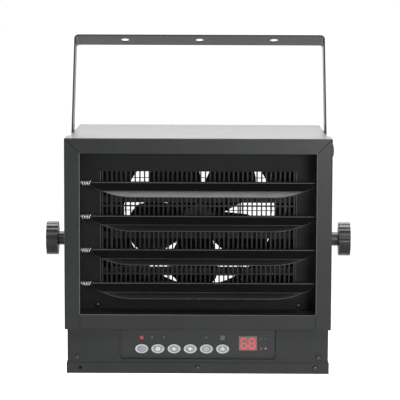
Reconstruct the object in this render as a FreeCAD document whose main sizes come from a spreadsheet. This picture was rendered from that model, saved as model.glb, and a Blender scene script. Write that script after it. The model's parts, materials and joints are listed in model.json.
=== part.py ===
import FreeCAD, Part
import math
import os
from types import SimpleNamespace

import Sketcher
from FreeCAD import Placement, Rotation, Vector

# Ceiling-hung electric garage heater: a folded steel cabinet with a proud bezel, four pivoting louvers,
# a fan and finned elements behind a wire guard, a control strip, and a tilting strap bracket.
# Frame: X to the right, Y to the back, Z up. The origin is the middle of the underside.
# Lengths are in millimetres, angles in degrees.

SIZES = {
    # Cabinet of folded sheet
    "cabinet_width": 351.0,
    "cabinet_height": 317.5,
    "cabinet_depth": 255.0,
    "sheet": 1.0,
    "fold_radius": 2.5,
    "flange_width": 18.0,
    "flange_height": 60.0,
    "fit_gap": 0.3,
    "running_gap": 0.05,
    "overrun": 1.0,
    # Tray under the cabinet
    "pan_wall": 14.7,
    # Bezel round the air outlet
    "bezel_sheet": 1.5,
    "bezel_side_gap": 1.0,
    "bezel_base": 63.0,
    "bezel_depth": 45.0,
    "bezel_fold": 2.0,
    "panel_setback": 20.0,
    "rail_width": 20.5,
    "rail_return": 36.0,
    "rail_gap": 0.4,
    "mitre_gap": 0.6,
    # Cap on the right flank of the bezel
    "plug_radius": 9.5,
    "plug_rise": 2.8,
    "plug_setback": 22.0,
    "plug_drop": 17.3,
    # Louvers and their springs
    "louver_drop": 41.3,
    "louver_foot": 38.4,
    "louver_setback": 20.0,
    "louver_sheet": 0.9,
    "blade_flat": 18.5,
    "blade_lip": 15.5,
    "flat_slope": 21.0,
    "lip_slope": 42.0,
    "corner_reach": 50.0,
    "spring_corner_reach": 60.0,
    "corner_start": 5.0,
    "blade_end_gap": 1.5,
    "rod_radius": 1.6,
    "rod_overhang": 1.6,
    "spring_length": 14.5,
    "spring_radius": 3.2,
    "spring_wire": 0.55,
    # Air outlet plate and wire guard
    "outlet_setback": 60.0,
    "outlet_width": 265.4,
    "outlet_head": 29.25,
    "outlet_rise": 30.55,
    "outlet_foot": 12.0,
    "guard_bar": 2.0,
    "guard_margin": 2.525,
    "guard_lap": 6.0,
    # Shelf between the hot chamber and the wiring space
    "shelf_height": 66.0,
    "shelf_lip": 10.0,
    # Finned heating elements and their end brackets
    "element_setback": 90.0,
    "element_drop": 12.2,
    "element_pitch": 49.3,
    "element_length": 304.0,
    "element_bar": 9.0,
    "fin_size": 34.0,
    "fin_thickness": 0.6,
    "fin_pitch": 20.0,
    "stand_sheet": 1.2,
    "stand_offset": 142.0,
    "stand_depth": 48.0,
    "stand_head": 46.2,
    "stand_flange": 8.0,
    "cutout_width": 18.0,
    "cutout_height": 12.0,
    "cutout_depth": 7.0,
    "cutout_tab_width": 6.0,
    "cutout_tab_length": 8.0,
    "cutout_tab_thickness": 0.8,
    "cutout_rise": 24.0,
    # Fan, motor and inlet
    "inlet_margin": 14.6,
    "tip_gap": 6.0,
    "fan_hub_radius": 24.0,
    "fan_hub_length": 26.0,
    "fan_inset": 68.5,
    "fan_rest": 42.0,
    "blade_thickness": 1.4,
    "blade_pitch": 30.0,
    "shroud_inset": 97.5,
    "shaft_radius": 4.0,
    "motor_radius": 36.0,
    "motor_length": 53.0,
    "strap_width": 10.0,
    "strap_spread": 24.0,
    "strap_lap": 16.0,
    "strap_thickness": 2.5,
    "rear_recess": 1.0,
    "grille_wire": 2.4,
    "grille_lap": 7.0,
    "grille_end": 9.0,
    "grille_stay": 60.0,
    # Control strip
    "window_width": 210.2,
    "window_bottom": 19.3,
    "window_top": 60.0,
    "window_corner": 5.0,
    "panel_top_gap": 0.3,
    "panel_flange": 12.0,
    "fascia_rim": 3.0,
    "fascia_recess": 4.0,
    "fascia_floor": 2.5,
    "button_inset": 29.5,
    "button_row_gap": 21.9,
    "button_height": 33.0,
    "button_rise": 2.4,
    "button_gap": 0.25,
    "button_stem": 6.0,
    "button_catch": 1.2,
    "button_travel": 0.7,
    "button_lost_motion": 0.2,
    "display_width": 24.6,
    "display_height": 19.4,
    "display_inset": 37.4,
    "display_level": 40.2,
    "display_sink": 0.4,
    "lamp_level": 47.9,
    "lamp_radius": 2.6,
    "lamp_rise": 0.5,
    "receiver_size": 6.0,
    "board_side_gap": 7.1,
    "board_height": 38.0,
    "board_thickness": 1.6,
    "board_standoff": 8.0,
    "board_margin": 4.0,
    "post_width": 5.0,
    "switch_size": 6.0,
    "switch_height": 3.4,
    "plunger_size": 3.4,
    "plunger_height": 1.0,
    "relay_width": 19.0,
    "relay_height": 15.5,
    "relay_depth": 20.0,
    "relay_spacing": 28.0,
    # Supply inlet
    "terminal_width": 66.0,
    "terminal_depth": 26.0,
    "terminal_height": 17.0,
    "terminal_step": 8.0,
    "terminal_slot": 14.0,
    "terminal_wall": 3.0,
    "terminal_inset": 30.0,
    "bushing_offset": 118.0,
    "bushing_level": 38.0,
    "bushing_width": 20.0,
    "bushing_flange": 26.0,
    "bushing_rise": 6.0,
    "bushing_depth": 12.0,
    "bushing_slot_width": 14.0,
    "bushing_slot_height": 8.0,
    # Tilting bracket, its knobs and clamp hardware
    "tilt_setback": 92.0,
    "tilt_drop": 143.2,
    "bracket_lean": 26.4,
    "bracket_leg": 300.0,
    "bracket_strip": 31.5,
    "bracket_sheet": 2.0,
    "bracket_bend": 4.0,
    "bracket_hole": 6.0,
    "bracket_hole_spacing": 106.0,
    "stud_radius": 4.0,
    "clamp_gap": 0.2,
    "knob_radius": 23.0,
    "knob_length": 15.7,
    "knob_collar_radius": 9.5,
    "knob_collar_length": 14.2,
    "flute_radius": 5.0,
    "flute_offset": 3.2,
    "nut_width": 16.0,
    "nut_thickness": 8.0,
}

LOUVER_COUNT = 4
SPRING_TURNS = 4
SPRING_WIRE_SIDES = 4
GUARD_BARS = 42
GUARD_STAY_SHARES = (0.09, 0.69)
ELEMENT_ROWS = (1, 0, -1)
FIN_COUNT = 13
FAN_BLADES = 5
GRILLE_BARS = 19
BUTTON_WIDTH_SHARE = 0.3987
BUTTON_HEIGHT_SHARE = 0.7011
BUTTON_NAMES = ("power", "mode", "warmer", "cooler", "timer", "fan")
TERMINAL_POLES = 3
KNOB_FLUTES = 8
RELAY_COLUMNS = (-1, 0, 1)
SQUARE_DIAGONAL = math.sqrt(2)
FULL_TURN = 360

doc = FreeCAD.newDocument("garage_heater")
sheet_cells = doc.addObject("Spreadsheet::Sheet", "dims")
for row, (alias, amount) in enumerate(SIZES.items(), start=1):
    sheet_cells.set(f"A{row}", alias)
    sheet_cells.set(f"B{row}", str(amount))
    sheet_cells.setAlias(f"B{row}", alias)
doc.recompute()


class Size:
    """A size worked out from the sheet: its number, and the expression that binds it."""

    def __init__(self, number, text):
        self.number = number
        self.text = text

    def __add__(self, other):
        other = as_size(other)
        return Size(self.number + other.number, f"({self.text} + {other.text})")

    def __sub__(self, other):
        other = as_size(other)
        return Size(self.number - other.number, f"({self.text} - {other.text})")

    def __mul__(self, other):
        other = as_size(other)
        return Size(self.number * other.number, f"({self.text} * {other.text})")

    def __truediv__(self, other):
        other = as_size(other)
        return Size(self.number / other.number, f"({self.text} / {other.text})")

    def __rsub__(self, other):
        return as_size(other) - self

    def __rtruediv__(self, other):
        return as_size(other) / self

    def __neg__(self):
        return Size(-self.number, f"(-{self.text})")

    __radd__ = __add__
    __rmul__ = __mul__


def as_size(amount):
    if isinstance(amount, Size):
        return amount
    return Size(float(amount), f"({amount})")


def cosine(angle):
    return Size(math.cos(math.radians(angle.number)), f"cos({angle.text})")


def sine(angle):
    return Size(math.sin(math.radians(angle.number)), f"sin({angle.text})")


def square_root(amount):
    return Size(math.sqrt(amount.number), f"sqrt({amount.text})")


size = SimpleNamespace(**{alias: Size(sheet_cells.get(alias), f"dims.{alias}") for alias in SIZES})
nodes = {}

TURN_TO = {
    "x": Rotation(Vector(0, 1, 0), 90),
    "y": Rotation(Vector(1, 0, 0), -90),
    "z": Rotation(),
}
BACKWARDS = Rotation(Vector(0, 0, 1), 180)


# Helpers that make bound objects


def bind(item, prop, amount):
    item.setExpression(prop, as_size(amount).text)


def place(item, at, turn=None):
    item.Placement = Placement(Vector(), turn or Rotation())
    for axis, amount in zip("xyz", at):
        bind(item, f"Placement.Base.{axis}", amount)
    return item


def node(item, label):
    item.Label = label
    nodes[label] = item
    return item


def box(name, lengths, at, turn=None):
    item = doc.addObject("Part::Box", name)
    for prop, amount in zip(("Length", "Width", "Height"), lengths):
        bind(item, prop, amount)
    return place(item, at, turn)


def cylinder(name, radius, length, at, along):
    item = doc.addObject("Part::Cylinder", name)
    bind(item, "Radius", radius)
    bind(item, "Height", length)
    return place(item, at, TURN_TO[along])


def fuse(name, *pieces):
    item = doc.addObject("Part::MultiFuse", name)
    item.Shapes = list(pieces)
    item.Refine = True
    return item


def cut(name, base, *tools):
    item = doc.addObject("Part::Cut", name)
    item.Base = base
    item.Tool = tools[0] if len(tools) == 1 else fuse(name + "_tools", *tools)
    item.Refine = True
    return item


def group(name, pieces):
    item = doc.addObject("Part::Compound", name)
    item.Links = list(pieces)
    return item


def rounded(name, base, radius, test):
    """The base with the straight edges that pass the test rounded."""
    doc.recompute()
    item = doc.addObject("Part::Fillet", name)
    item.Base = base
    picked = [i for i, edge in enumerate(base.Shape.Edges, start=1) if test(edge)]
    item.Edges = [(i, radius.number, radius.number) for i in picked]
    return item


def direction(edge):
    along = edge.Vertexes[-1].Point - edge.Vertexes[0].Point
    return max("xyz", key=lambda axis: abs(getattr(along, axis)))


def new_body(name):
    return doc.addObject("PartDesign::Body", name)


def origin_of(body, role):
    return next(item for item in body.Origin.OriginFeatures if item.Role == role)


def new_sketch(body, name, role, offset=None):
    sketch = body.newObject("Sketcher::SketchObject", name)
    sketch.AttachmentSupport = [(origin_of(body, role), "")]
    sketch.MapMode = "FlatFace"
    if offset is not None:
        bind(sketch, "AttachmentOffset.Base.z", offset)
    return sketch


def hold(sketch, kind, *where, amount):
    index = sketch.addConstraint(Sketcher.Constraint(kind, *where, amount.number))
    bind(sketch, f"Constraints[{index}]", amount)


def hold_point(sketch, geometry, end, point):
    """Fixes one end of a line, or a centre, by its two coordinates."""
    for kind, axis, amount in (("DistanceX", -2, point[0]), ("DistanceY", -1, point[1])):
        amount = as_size(amount)
        if amount.number:
            hold(sketch, kind, geometry, end, amount=amount)
        else:
            sketch.addConstraint(Sketcher.Constraint("PointOnObject", geometry, end, axis))


def flat_point(point):
    return Vector(as_size(point[0]).number, as_size(point[1]).number, 0)


def outline(sketch, points):
    """A closed outline of straight lines through the points."""
    first = sketch.GeometryCount
    count = len(points)
    for i, point in enumerate(points):
        following = points[(i + 1) % count]
        sketch.addGeometry(Part.LineSegment(flat_point(point), flat_point(following)))
    for i, point in enumerate(points):
        sketch.addConstraint(Sketcher.Constraint("Coincident", first + i, 2, first + (i + 1) % count, 1))
        hold_point(sketch, first + i, 1, point)


def outline_with_arc(sketch, points, centre, radius):
    """A closed outline: straight through the points, then a left-hand arc round the centre to the first."""
    first = sketch.GeometryCount
    arc = first + len(points) - 1
    for a, b in zip(points, points[1:]):
        sketch.addGeometry(Part.LineSegment(flat_point(a), flat_point(b)))
    middle = flat_point(centre)
    begin, end = [flat_point(p) - middle for p in (points[-1], points[0])]
    circle = Part.Circle(middle, Vector(0, 0, 1), radius.number)
    angles = [math.atan2(ray.y, ray.x) % (2 * math.pi) for ray in (begin, end)]
    sketch.addGeometry(Part.ArcOfCircle(circle, *angles))
    for i in range(first, arc):
        sketch.addConstraint(Sketcher.Constraint("Coincident", i, 2, i + 1, 1))
    sketch.addConstraint(Sketcher.Constraint("Coincident", arc, 2, first, 1))
    for i, point in enumerate(points, start=first):
        hold_point(sketch, i, 1, point)
    hold(sketch, "Radius", arc, amount=radius)


def ring(sketch, radius, centre=(0, 0)):
    radius = as_size(radius)
    index = sketch.addGeometry(Part.Circle(flat_point(centre), Vector(0, 0, 1), radius.number))
    hold(sketch, "Radius", index, amount=radius)
    hold_point(sketch, index, 3, centre)


def rectangle(sketch, left, bottom, right, top):
    outline(sketch, [(left, bottom), (right, bottom), (right, top), (left, top)])


def pad(body, sketch, length, both=False):
    item = body.newObject("PartDesign::Pad", sketch.Name + "_pad")
    item.Profile = sketch
    bind(item, "Length", length)
    if both:
        item.SideType = "Symmetric"
    return item


def pocket(body, sketch):
    """Cuts the sketch right through, both ways."""
    item = body.newObject("PartDesign::Pocket", sketch.Name + "_cut")
    item.Profile = sketch
    item.SideType = "Symmetric"
    item.Type = "ThroughAll"
    return item


def revolve(body, sketch, axis):
    item = body.newObject("PartDesign::Revolution", sketch.Name + "_turned")
    item.Profile = sketch
    item.ReferenceAxis = (sketch, [axis])
    item.Angle = FULL_TURN
    return item


def smooth(body, feature, radius, test):
    """Rounds the feature's edges that pass the test."""
    doc.recompute()
    edges = feature.Shape.Edges
    item = body.newObject("PartDesign::Fillet", feature.Name + "_round")
    item.Base = (feature, [f"Edge{i}" for i, edge in enumerate(edges, start=1) if test(edge)])
    bind(item, "Radius", radius)
    return item


def row_pattern(body, feature, role, pitch, count):
    doc.recompute()
    item = body.newObject("PartDesign::LinearPattern", feature.Name + "_row")
    item.Originals = [feature]
    item.Direction = (origin_of(body, role), [""])
    item.Mode = "Spacing"
    bind(item, "Offset", pitch)
    item.Occurrences = count
    body.Tip = item
    return item


def round_pattern(body, feature, role, count):
    doc.recompute()
    item = body.newObject("PartDesign::PolarPattern", feature.Name + "_round")
    item.Originals = [feature]
    item.Axis = (origin_of(body, role), [""])
    item.Angle = FULL_TURN
    item.Occurrences = count
    body.Tip = item
    return item


# Places that several pieces share

half_width = size.cabinet_width / 2
panel_face = -size.cabinet_depth / 2
rear_edge = size.cabinet_depth / 2
inside_half = half_width - size.sheet
inner_half = inside_half - size.fit_gap
panel_back = panel_face + size.sheet
shelf_top = size.shelf_height + size.sheet
ceiling = size.cabinet_height - size.sheet
chamber_top = ceiling - size.fit_gap

bezel_face = panel_face - size.panel_setback
bezel_half = half_width + size.bezel_side_gap + size.bezel_sheet
bezel_top = size.cabinet_height + size.fit_gap + size.bezel_sheet
opening_half = bezel_half - size.rail_width
opening_top = bezel_top - size.rail_width
opening_low = size.bezel_base + size.rail_width

louver_axis = bezel_face + size.louver_setback
louver_top = opening_top - size.louver_drop
louver_pitch = (louver_top - opening_low - size.louver_foot) / (LOUVER_COUNT - 1)
louver_levels = [louver_top - louver_pitch * i for i in range(LOUVER_COUNT)]
rod_seat = size.rod_radius + size.running_gap

outlet_face = bezel_face + size.outlet_setback
outlet_back = outlet_face + size.sheet
outlet_half = size.outlet_width / 2
outlet_low = opening_low + size.outlet_rise
outlet_height = opening_top - size.outlet_head - outlet_low
outlet_centre = outlet_low + outlet_height / 2
guard_pitch = (size.outlet_width - size.guard_margin * 2) / (GUARD_BARS - 1)
element_axis = bezel_face + size.element_setback
element_levels = [outlet_centre - size.element_drop + size.element_pitch * row for row in ELEMENT_ROWS]
stand_height = element_levels[0] + size.stand_head - shelf_top

rear_face = rear_edge - size.rear_recess
rear_inside = rear_face - size.sheet
fan_height = (shelf_top + chamber_top) / 2
fan_opening = (chamber_top - shelf_top) / 2 - size.inlet_margin
fan_radius = fan_opening - size.tip_gap
fan_front = rear_edge - size.fan_inset - size.fan_hub_length
strap_face = rear_inside - size.strap_thickness
motor_front = strap_face - size.motor_length

fascia_front = panel_back
recess_floor = fascia_front + size.fascia_recess
fascia_back = recess_floor + size.fascia_floor
board_face = fascia_back + size.board_standoff
board_back = board_face + size.board_thickness
board_bottom = (size.window_bottom + size.window_top - size.board_height) / 2
window_half = size.window_width / 2
button_first = size.button_inset - window_half
display_centre = window_half - size.display_inset
button_last = display_centre - size.display_width / 2 - size.button_row_gap
button_pitch = (button_last - button_first) / (len(BUTTON_NAMES) - 1)
button_half_width = button_pitch * BUTTON_WIDTH_SHARE
button_half_height = button_half_width * BUTTON_HEIGHT_SHARE
button_places = [button_first + button_pitch * i for i in range(len(BUTTON_NAMES))]
board_width = size.window_width - size.board_side_gap * 2

tilt_axis = bezel_face + size.tilt_setback
tilt_height = size.cabinet_height - size.tilt_drop
bracket_inner = half_width + size.fit_gap
bracket_outer = bracket_inner + size.bracket_sheet
knob_seat = bracket_outer + size.clamp_gap
stud_hole = size.stud_radius + size.running_gap


def make_cabinet_wrap():
    """Top and sides folded from one sheet, with inward flanges that carry the panels."""
    over = size.overrun
    block = box(
        "wrap_block",
        (size.cabinet_width, size.cabinet_depth, size.cabinet_height - size.sheet),
        (-half_width, panel_face, size.sheet),
    )
    outside = rounded(
        "wrap_outside",
        block,
        size.fold_radius,
        lambda e: direction(e) == "y" and e.CenterOfMass.z > size.cabinet_height.number / 2,
    )
    hollow = box(
        "wrap_hollow",
        (inside_half * 2, size.cabinet_depth + over * 2, size.cabinet_height),
        (-inside_half, panel_face - over, ceiling - size.cabinet_height),
    )
    shell = cut("wrap_shell", outside, hollow)
    rear_flange = rear_inside - size.sheet
    flanges = []
    for side, left in ((-1, -inside_half), (1, inside_half - size.flange_width)):
        flanges.append(
            box(
                f"wrap_front_flange{side}",
                (size.flange_width, size.sheet, size.flange_height - size.sheet),
                (left, panel_back, size.sheet),
            )
        )
        flanges.append(
            box(
                f"wrap_rear_flange{side}",
                (size.flange_width, size.sheet, ceiling - size.sheet),
                (left, rear_flange, size.sheet),
            )
        )
    flanges.append(
        box(
            "wrap_top_flange",
            (inside_half * 2, size.sheet, size.flange_width / 2),
            (-inside_half, rear_flange, ceiling - size.flange_width / 2),
        )
    )
    stud_way = cylinder(
        "wrap_stud_way",
        stud_hole,
        size.cabinet_width + over * 2,
        (-half_width - over, tilt_axis, tilt_height),
        "x",
    )
    node(cut("cabinet_wrap", fuse("wrap_folded", shell, *flanges), stud_way), "cabinet_wrap")


def make_bottom_pan():
    outer = half_width + size.fit_gap + size.sheet
    outer_depth = rear_edge + size.fit_gap + size.sheet
    tray = box("pan_block", (outer * 2, outer_depth * 2, size.pan_wall), (-outer, -outer_depth, 0))
    hollow = box(
        "pan_hollow",
        ((outer - size.sheet) * 2, (outer_depth - size.sheet) * 2, size.pan_wall),
        (size.sheet - outer, size.sheet - outer_depth, size.sheet),
    )
    node(cut("bottom_pan", tray, hollow), "bottom_pan")


def make_bezel_hood():
    """Top and side rails of the bezel folded from one sheet, mitred at the corners, with inward returns."""
    over = size.overrun
    wall = size.bezel_sheet
    height = bezel_top - size.bezel_base
    block = box(
        "hood_block", (bezel_half * 2, size.bezel_depth, height), (-bezel_half, bezel_face, size.bezel_base)
    )

    def folded_edge(edge):
        at = edge.CenterOfMass
        on_face = abs(at.y - bezel_face.number) < wall.number and at.z > size.bezel_base.number + wall.number
        on_top = direction(edge) == "y" and abs(at.z - bezel_top.number) < wall.number
        return on_face or on_top

    outside = rounded("hood_outside", block, size.bezel_fold, folded_edge)
    hollow = box(
        "hood_hollow",
        ((bezel_half - wall) * 2, size.bezel_depth, height - wall + over),
        (wall - bezel_half, bezel_face + wall, size.bezel_base - over),
    )
    window = box(
        "hood_window",
        (opening_half * 2, wall + over * 2, height - size.rail_width + over),
        (-opening_half, bezel_face - over, size.bezel_base - over),
    )
    shell = cut("hood_shell", outside, hollow, window)
    return_low = shelf_top + size.fit_gap
    returns = [
        box(
            f"hood_return{side}",
            (wall, size.rail_return, opening_top + wall - return_low),
            (left, bezel_face, return_low),
        )
        for side, left in ((-1, -opening_half - wall), (1, opening_half))
    ]
    returns.append(
        box(
            "hood_top_return",
            ((opening_half + wall) * 2, size.rail_return, wall),
            (-opening_half - wall, bezel_face, opening_top),
        )
    )
    seam = (size.rail_width - wall * 2) * SQUARE_DIAGONAL
    slits = [
        box(
            f"hood_mitre{side}",
            (size.mitre_gap, wall + over, seam),
            (side * (opening_half + wall), bezel_face - over, opening_top + wall),
            Rotation(Vector(0, 1, 0), 45 * side),
        )
        for side in (-1, 1)
    ]
    rod_ways = [
        box(
            f"hood_rod_way{i}",
            ((opening_half + wall * 2) * 2, rod_seat * 2, rod_seat * 2),
            (-opening_half - wall * 2, louver_axis - rod_seat, level - rod_seat),
        )
        for i, level in enumerate(louver_levels)
    ]
    node(cut("bezel_hood", fuse("hood_folded", shell, *returns), *slits, *rod_ways), "bezel_hood")


def make_bezel_bottom_rail():
    body = new_body("bezel_bottom_rail")
    profile = new_sketch(body, "rail_profile", "YZ_Plane")
    wall = size.bezel_sheet
    front = bezel_face
    low = size.bezel_base
    high = low + size.rail_width
    outline(
        profile,
        [
            (front, low),
            (front + size.bezel_depth, low),
            (front + size.bezel_depth, low + wall),
            (front + wall, low + wall),
            (front + wall, high - wall),
            (front + size.rail_return, high - wall),
            (front + size.rail_return, high),
            (front, high),
        ],
    )
    strip = pad(body, profile, (opening_half - size.rail_gap) * 2, both=True)
    smooth(
        body,
        strip,
        size.bezel_fold / 2,
        lambda e: direction(e) == "x" and abs(e.CenterOfMass.y - front.number) < wall.number / 2,
    )
    node(body, "bezel_bottom_rail")


def make_side_plug():
    at = (bezel_half, bezel_face + size.plug_setback, bezel_top - size.plug_drop)
    node(cylinder("side_plug", size.plug_radius, size.plug_rise, at, "x"), "side_plug")


def make_louver_blade(label, level):
    """A folded sheet blade on its pivot rod, with rounded front corners."""
    body = new_body(label)
    left = size.spring_length + size.fit_gap * 2 - opening_half
    right = opening_half - size.blade_end_gap
    rod = new_sketch(body, label + "_rod", "YZ_Plane")
    ring(rod, size.rod_radius)
    pad(body, rod, (opening_half + size.bezel_sheet + size.rod_overhang) * 2, both=True)
    flat_normal = (-sine(size.flat_slope), cosine(size.flat_slope))
    lip_normal = (-sine(size.lip_slope), cosine(size.lip_slope))
    flat_run = (-cosine(size.flat_slope), -sine(size.flat_slope))
    lip_run = (-cosine(size.lip_slope), -sine(size.lip_slope))
    bend = 1 + cosine(size.lip_slope - size.flat_slope)
    thick = size.louver_sheet
    root = [size.rod_radius * n for n in flat_normal]
    fold = [a + size.blade_flat * b for a, b in zip(root, flat_run)]
    edge = [a + size.blade_lip * b for a, b in zip(fold, lip_run)]
    under_edge = [a - thick * n for a, n in zip(edge, lip_normal)]
    under_fold = [a - thick * (m + n) / bend for a, m, n in zip(fold, flat_normal, lip_normal)]
    under_root = [a - thick * n for a, n in zip(root, flat_normal)]
    strip = new_sketch(body, label + "_strip", "YZ_Plane", left)
    outline(strip, [root, fold, edge, under_edge, under_fold, under_root])
    pad(body, strip, right - left)
    front = edge[0]
    start = -size.rod_radius - size.corner_start
    depth = start - front
    bottom = front - size.overrun
    corners = new_sketch(body, label + "_corners", "XY_Plane")
    for side, end, reach in ((-1, left, size.spring_corner_reach), (1, right, size.corner_reach)):
        swing = (reach * reach + depth * depth) / (depth * 2)
        outer = end + side * size.overrun
        meet = end - side * reach
        path = [(meet, front), (meet, bottom), (outer, bottom), (outer, start), (end, start)]
        if side > 0:
            path.reverse()
        outline_with_arc(corners, path, (meet, front + swing), swing)
    pocket(body, corners)
    place(body, (0, louver_axis, level))
    node(body, label)


def biarc(start, start_way, end, end_way):
    """Two tangent arcs from one point and direction to another."""
    span = end - start
    square = 2 * (1 - start_way.dot(end_way))
    linear = 2 * span.dot(start_way + end_way)
    reach = (math.sqrt(linear * linear + 4 * square * span.dot(span)) - linear) / (2 * square)
    knees = (start + start_way * reach, end - end_way * reach)
    middle = (knees[0] + knees[1]) / 2
    arcs = []
    for a, knee, b in ((start, knees[0], middle), (middle, knees[1], end)):
        turn = (knee - a).getAngle(b - knee)
        chord_middle = (a + b) / 2
        bulge = (b - a).Length / 2 * math.tan(turn / 4)
        arcs.append(Part.Arc(a, chord_middle + (knee - chord_middle).normalize() * bulge, b).toShape())
    return arcs


def coil_shape():
    """One louver spring along X from the origin: an unbroken wire wound round the rod."""
    radius = size.spring_radius.number
    wire = size.spring_wire.number
    rise = (size.spring_length.number - 2 * wire) / SPRING_TURNS
    half_turns = 2 * SPRING_TURNS

    def at(half_turn):
        angle = math.pi * half_turn
        return Vector(wire + rise * half_turn / 2, radius * math.cos(angle), radius * math.sin(angle))

    def way(half_turn):
        angle = math.pi * half_turn
        return Vector(rise / (2 * math.pi), -radius * math.sin(angle), radius * math.cos(angle)).normalize()

    edges = []
    for i in range(half_turns):
        edges += biarc(at(i), way(i), at(i + 1), way(i + 1))
    outward = Vector(0, 1, 0)
    sideways = way(0).cross(outward).normalize()
    rim = []
    for k in range(SPRING_WIRE_SIDES + 1):
        angle = 2 * math.pi * (k + 0.5) / SPRING_WIRE_SIDES
        rim.append(at(0) + outward * (wire * math.cos(angle)) + sideways * (wire * math.sin(angle)))
    steps = 16
    samples = [at(k / steps) for k in range(steps * half_turns + 1)]
    apart = min((a - b).Length for i, a in enumerate(samples) for b in samples[i + steps :])
    print(f"louver spring: least gap to itself {apart - 2 * wire:.2f} mm")
    return Part.Wire(edges).makePipeShell([Part.makePolygon(rim)], True, False)


def make_louver_springs():
    shape = coil_shape()
    coils = []
    for i, level in enumerate(louver_levels):
        coil = doc.addObject("Part::Feature", f"spring_{i + 1}")
        coil.Shape = shape
        coils.append(place(coil, (size.fit_gap - opening_half, louver_axis, level)))
    node(group("louver_springs", coils), "louver_springs")


def make_outlet_plate():
    over = size.overrun
    plate = box(
        "outlet_sheet",
        (inner_half * 2, size.sheet, chamber_top - shelf_top),
        (-inner_half, outlet_face, shelf_top),
    )
    foot = box(
        "outlet_foot",
        (inner_half * 2, size.outlet_foot, size.sheet),
        (-inner_half, outlet_back - size.outlet_foot, shelf_top),
    )
    window = box(
        "outlet_window",
        (size.outlet_width, size.sheet + over * 2, outlet_height),
        (-outlet_half, outlet_face - over, outlet_low),
    )
    node(cut("outlet_plate", fuse("outlet_folded", plate, foot), window), "outlet_plate")


def make_outlet_guard():
    """Upright wires welded to two cross stays, fixed behind the outlet plate."""
    bar = size.guard_bar
    half_row = guard_pitch * (GUARD_BARS - 1) / 2
    height = outlet_height + size.guard_lap * 2
    wires = [
        box(
            f"guard_upright{i}",
            (bar, bar, height),
            (guard_pitch * i - half_row - bar / 2, outlet_back, outlet_low - size.guard_lap),
        )
        for i in range(GUARD_BARS)
    ]
    wires += [
        box(
            f"guard_stay{i}",
            (half_row * 2 + bar, bar, bar),
            (-half_row - bar / 2, outlet_back + bar, outlet_low + outlet_height * share),
        )
        for i, share in enumerate(GUARD_STAY_SHARES)
    ]
    node(group("outlet_guard", wires), "outlet_guard")


def make_divider_shelf():
    front = panel_face + size.panel_flange + size.fit_gap
    back = rear_inside - size.sheet - size.fit_gap
    plate = box(
        "shelf_plate", (inner_half * 2, back - front, size.sheet), (-inner_half, front, size.shelf_height)
    )
    lips = [
        box(
            f"shelf_lip{side}",
            (size.sheet, back - front, size.shelf_lip),
            (left, front, shelf_top - size.shelf_lip),
        )
        for side, left in ((-1, -inner_half), (1, inner_half - size.sheet))
    ]
    node(fuse("divider_shelf", plate, *lips), "divider_shelf")


def make_heating_element(label, level):
    """A sheathed square bar with a row of square fins."""
    body = new_body(label)
    fin_row = size.fin_pitch * (FIN_COUNT - 1)
    half_bar = size.element_bar / 2
    half_fin = size.fin_size / 2
    bar = new_sketch(body, label + "_bar", "YZ_Plane")
    rectangle(bar, -half_bar, -half_bar, half_bar, half_bar)
    pad(body, bar, size.element_length, both=True)
    fin = new_sketch(body, label + "_fin", "YZ_Plane", -fin_row / 2 - size.fin_thickness / 2)
    rectangle(fin, -half_fin, -half_fin, half_fin, half_fin)
    first = pad(body, fin, size.fin_thickness)
    row_pattern(body, first, "X_Axis", size.fin_pitch, FIN_COUNT)
    place(body, (0, element_axis, level))
    node(body, label)


def make_element_bracket(label, side):
    """An upright end plate that carries the element bars, with a flange to the outlet plate and a foot."""
    over = size.overrun
    wall = size.stand_sheet
    inner = size.stand_offset
    seat = size.element_bar / 2 + size.running_gap
    plate_left, flange_left, foot_left = -inner - wall, -inner, -inner - size.stand_flange
    if side > 0:
        plate_left, flange_left, foot_left = inner, inner - size.stand_flange, inner
    plate = box(
        f"{label}_plate", (wall, size.stand_depth, stand_height), (plate_left, outlet_back, shelf_top)
    )
    flange = box(
        f"{label}_flange", (size.stand_flange, wall, stand_height), (flange_left, outlet_back, shelf_top)
    )
    foot = box(
        f"{label}_foot", (size.stand_flange, size.stand_depth, wall), (foot_left, outlet_back, shelf_top)
    )
    ways = [
        box(
            f"{label}_way{i}",
            (wall + over * 2, seat * 2, seat * 2),
            (plate_left - over, element_axis - seat, level - seat),
        )
        for i, level in enumerate(element_levels)
    ]
    node(cut(label, fuse(label + "_folded", plate, flange, foot), *ways), label)


def make_thermal_cutout():
    """A thermal cut-out in a flat case on the outer face of the right end plate, with two tabs."""
    seat = size.stand_offset + size.stand_sheet
    middle = outlet_back + size.stand_depth / 2
    bottom = element_levels[0] + size.cutout_rise
    case = box(
        "cutout_case",
        (size.cutout_depth, size.cutout_width, size.cutout_height),
        (seat, middle - size.cutout_width / 2, bottom),
    )
    tabs = [
        box(
            f"cutout_tab{side}",
            (size.cutout_tab_thickness, size.cutout_tab_width, size.cutout_tab_length),
            (
                seat + size.cutout_depth / 2,
                middle + size.cutout_width * side / 4 - size.cutout_tab_width / 2,
                bottom + size.cutout_height,
            ),
        )
        for side in (-1, 1)
    ]
    node(fuse("thermal_cutout", case, *tabs), "thermal_cutout")


def make_fan_shroud():
    body = new_body("fan_shroud")
    back = rear_edge - size.shroud_inset + size.sheet
    face = new_sketch(body, "shroud_face", "XZ_Plane", -back)
    rectangle(face, -inner_half, shelf_top, inner_half, chamber_top)
    ring(face, fan_opening, (0, fan_height))
    pad(body, face, size.sheet)
    node(body, "fan_shroud")


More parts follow.
